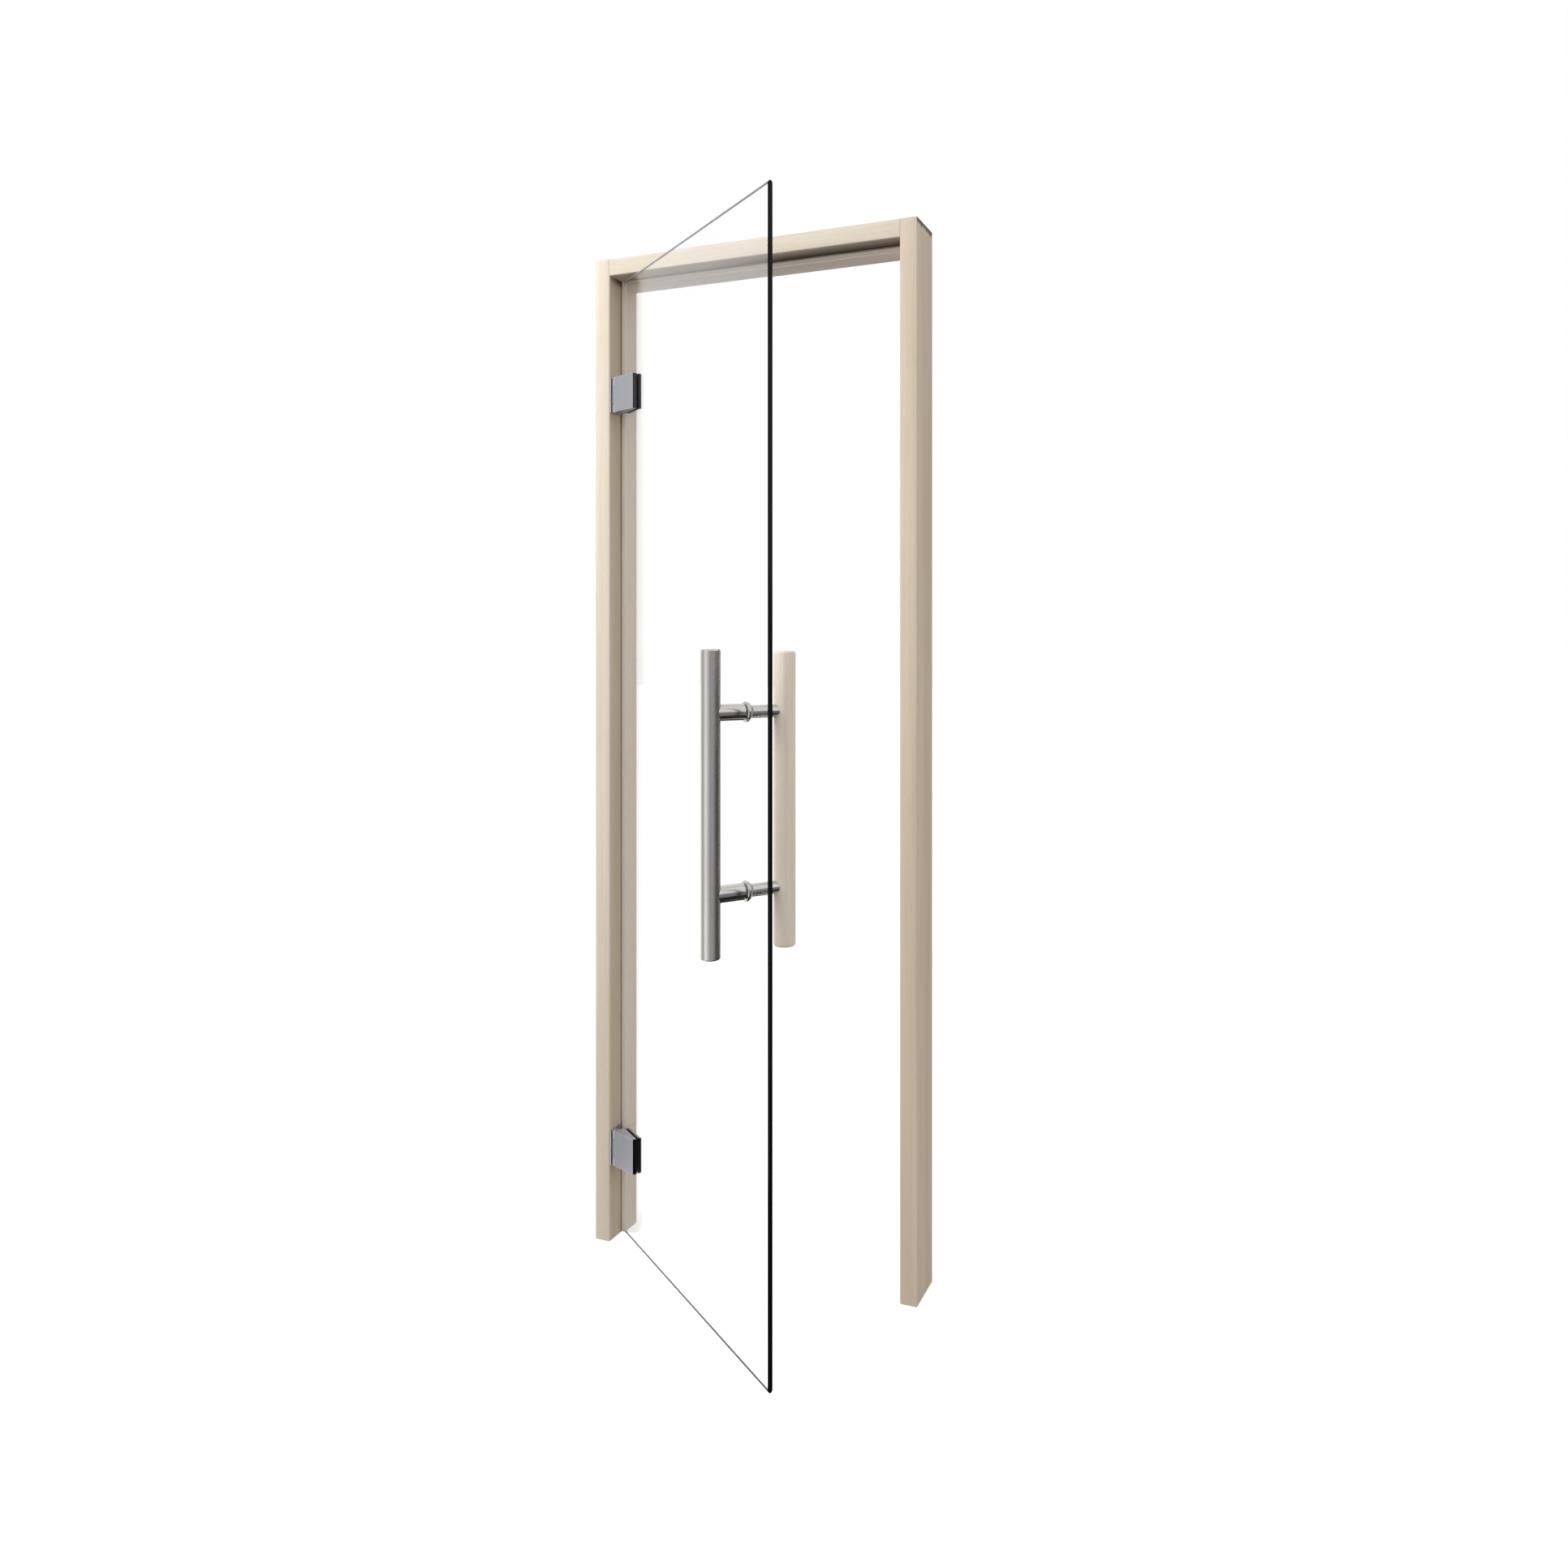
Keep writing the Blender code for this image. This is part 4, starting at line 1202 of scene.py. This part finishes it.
def makeSeal():
    nodes = ("seal_hinge_side", "seal_head", "seal_strike_side")
    (hingeLow, hingeHigh), (headLow, headHigh), (strikeLow, strikeHigh) = [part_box(node) for node in nodes]
    back = hingeHigh.y
    hingeX = (hingeLow.x + hingeHigh.x) / 2
    strikeX = (strikeLow.x + strikeHigh.x) / 2
    headZ = (headLow.z + headHigh.z) / 2
    ends = [(hingeX, back, hingeLow.z), (hingeX, back, hingeHigh.z)]
    ends += [(headLow.x, back, headZ), (headHigh.x, back, headZ)]
    ends += [(strikeX, back, strikeHigh.z), (strikeX, back, strikeLow.z)]
    path = plainMesh("seal_path", ends, [(0, 1), (2, 3), (4, 5)])
    points = sealProfile(hingeHigh.x - hingeLow.x - 2 * sealShape["inset"], back - hingeLow.y)
    rim = [(index, (index + 1) % len(points)) for index in range(len(points))]
    section = addThing("seal_section", plainMesh("seal_section", [(y, x, 0) for x, y in points], rim))
    facing = (0.0, -1.0, 0.0)
    result = grow("seal_path", path, makeSweepTree(), Section=section, Facing=facing, Finish=sealSilicone)
    removeThings(section)
    bm = bmesh.new()
    bm.from_mesh(result)
    mesh = toMesh(bm, "door_seal", None, 35)
    layPiece("door_seal", mesh, sealSilicone, "frame", "seal", *nodes)
    print("seal made:", len(mesh.polygons), "faces")


# Room for the picture

stageLook = {
    "floorSize": 60.0,
    "floorGlow": 0.80,  # share of the floor's white that no shadow dims
    "floorLit": 0.40,  # and the share that one does
    "bounce": 0.27,  # how much light the floor throws back
    "worldLevel": 0.82,
    "worldTint": (1.0, 0.99, 0.975, 1.0),
}
lamps = {
    "key": {"place": (-1.2, -1.7, 2.6), "aim": (0.2, 0.0, 1.2), "size": 1.3, "power": 44.0},
    "side": {"place": (2.7, 0.4, 1.1), "aim": (0.4, 0.0, 1.0), "size": 2.0, "power": 5.5},
}

# Boards that only metal and other shiny surfaces show. Each is a piece of a round wall, with
# its part of the floor: turn in degrees from +X, top, shade, and how far in its floor comes.
boards = {
    "board_left": {"turn": (178.0, 222.0), "top": 2.9, "shade": 0.58, "floorFrom": 1.2},
    "board_near": {"turn": (-98.0, -76.0), "top": 2.9, "shade": 0.68, "floorFrom": 1.6},
    "board_front": {"turn": (-76.0, -26.0), "top": 2.9, "shade": 0.43, "floorFrom": 1.4},
    "board_right": {"turn": (-26.0, -6.0), "top": 1.5, "shade": 0.28, "floorFrom": 1.4},
    "board_side": {"turn": (-6.0, 40.0), "top": 1.4, "shade": 0.11, "floorFrom": 1.4},
    "board_back": {"turn": (40.0, 108.0), "top": 3.4, "shade": 0.10, "floorFrom": 1.4},
}
boardCentre = (0.45, -0.30)
boardRadius = 3.6
boardSteps = 12
boardLift = 0.002  # of the boards over the floor
floorBoards = {
    "board_below": {"low": (0.06, -1.1), "high": (1.9, 1.1), "shade": 0.03},
    "board_before": {"low": (-0.95, -0.50), "high": (-0.20, 0.02), "shade": 0.50},
}
floorBoardLift = 0.003


def seenRays(tree):
    # 1 for what the camera, a reflection or the glass shows, 0 for light on its way
    path = addNode(tree, "ShaderNodeLightPath").outputs
    first = maths(tree, "MAXIMUM", path["Is Camera Ray"], path["Is Glossy Ray"])
    return maths(tree, "MAXIMUM", first, path["Is Transmission Ray"])


def greyShader(tree, kind, level, strength=None):
    node = fill(addNode(tree, f"ShaderNode{kind}"), Color=(level, level, level, 1))
    return (fill(node, Strength=strength) if strength else node).outputs[0]


def addStage(name, corners, faces, material):
    thing = addThing(name, plainMesh(name, corners, faces=faces))
    paint(thing.data, material)
    return thing


def oblong(low, high, z):
    return [(low[0], low[1], z), (high[0], low[1], z), (high[0], high[1], z), (low[0], high[1], z)]


def makeFloor():
    half = stageLook["floorSize"] / 2
    material = bpy.data.materials.new("pale_floor")
    tree, surface = bareTree(material)
    shown = addNode(tree, "ShaderNodeAddShader")
    feed(shown.inputs[0], greyShader(tree, "Emission", 1, stageLook["floorGlow"]))
    feed(shown.inputs[1], greyShader(tree, "BsdfDiffuse", stageLook["floorLit"]))
    plain = greyShader(tree, "BsdfDiffuse", stageLook["bounce"])
    feed(surface, chosen(tree, seenRays(tree), plain, shown.outputs["Shader"]))
    addStage("floor", oblong((-half, -half), (half, half), 0), [(0, 1, 2, 3)], material)


def makeWorld():
    world = bpy.data.worlds.new("white_room")
    scene.world = world
    tree, surface = bareTree(world, "World")
    world.cycles.sampling_method = "NONE"  # so that the boards hide it from the metal
    light = addNode(tree, "ShaderNodeBackground")
    fill(light, Color=stageLook["worldTint"], Strength=stageLook["worldLevel"])
    white = greyShader(tree, "Background", 1, 1.0)
    feed(surface, chosen(tree, seenRays(tree), light.outputs["Background"], white))


def placeBoard(name, corners, faces, shade):
    material = bpy.data.materials.new(name)
    tree, surface = bareTree(material)
    flat = greyShader(tree, "Emission", shade, 1.0)
    clear = addNode(tree, "ShaderNodeBsdfTransparent").outputs["BSDF"]
    path = addNode(tree, "ShaderNodeLightPath").outputs
    # The metal's soft reflections show the board, the sharp ones of the glass don't
    soft = maths(tree, "SUBTRACT", 1.0, path["Is Singular Ray"])
    mirrored = product(tree, path["Is Glossy Ray"], soft)
    feed(surface, chosen(tree, mirrored, clear, flat))
    board = addStage(name, corners, faces, material)
    for ray in ("camera", "diffuse", "transmission", "shadow"):
        setattr(board, f"visible_{ray}", False)


def makeBoards():
    for name, look in boards.items():
        corners = []
        rims = [(look["floorFrom"], boardLift), (boardRadius, boardLift), (boardRadius, look["top"])]
        start, end = look["turn"]
        for radius, height in rims:
            for step in range(boardSteps + 1):
                angle = math.radians(start + (end - start) * step / boardSteps)
                x = boardCentre[0] + radius * math.cos(angle)
                corners.append((x, boardCentre[1] + radius * math.sin(angle), height))
        faces = []
        for row in range(len(rims) - 1):
            first = row * (boardSteps + 1)
            for step in range(first, first + boardSteps):
                faces.append((step, step + 1, boardSteps + 2 + step, boardSteps + 1 + step))
        placeBoard(name, corners, faces, look["shade"])
    for name, look in floorBoards.items():
        placeBoard(name, oblong(look["low"], look["high"], floorBoardLift), [(0, 1, 2, 3)], look["shade"])


def addArea(name, place, aim, size, power):
    lamp = bpy.data.lights.new(name, "AREA")
    lamp.shape = "SQUARE"
    lamp.size = size
    lamp.energy = power
    thing = addThing(name, lamp)
    thing.location = place
    thing.rotation_euler = (Vector(aim) - Vector(place)).to_track_quat("-Z", "Y").to_euler()
    thing.visible_glossy = False


cameraLook = {
    "place": (1.3602, -2.0316, 1.203),
    "turn": 0.3627,  # in radians
    "focal": 1415.26,  # in pixels of the photo
    "centre": (1077.05, 798.15),  # where the camera looks, in pixels of the photo
    "picture": 1932,
    "sensor": 36.0,
}


def makeCamera():
    data = bpy.data.cameras.new("photo_camera")
    width = cameraLook["picture"]
    data.sensor_width = cameraLook["sensor"]
    data.lens = cameraLook["focal"] * cameraLook["sensor"] / width
    data.shift_x = (width / 2 - cameraLook["centre"][0]) / width
    data.shift_y = (cameraLook["centre"][1] - width / 2) / width
    camera = addThing("photo_camera", data)
    camera.location = cameraLook["place"]
    camera.rotation_euler = (math.radians(90), 0, cameraLook["turn"])
    scene.camera = camera


def setStage():
    makeFloor()
    makeWorld()
    makeBoards()
    for name, look in lamps.items():
        addArea(name, **look)
    makeCamera()
    scene.view_settings.view_transform = "Standard"
    print("stage set")


makeTimberFrame()
makePane()
makeGrips()
makePosts()
finishHinges()
makeScrews()
makeSeal()
setStage()
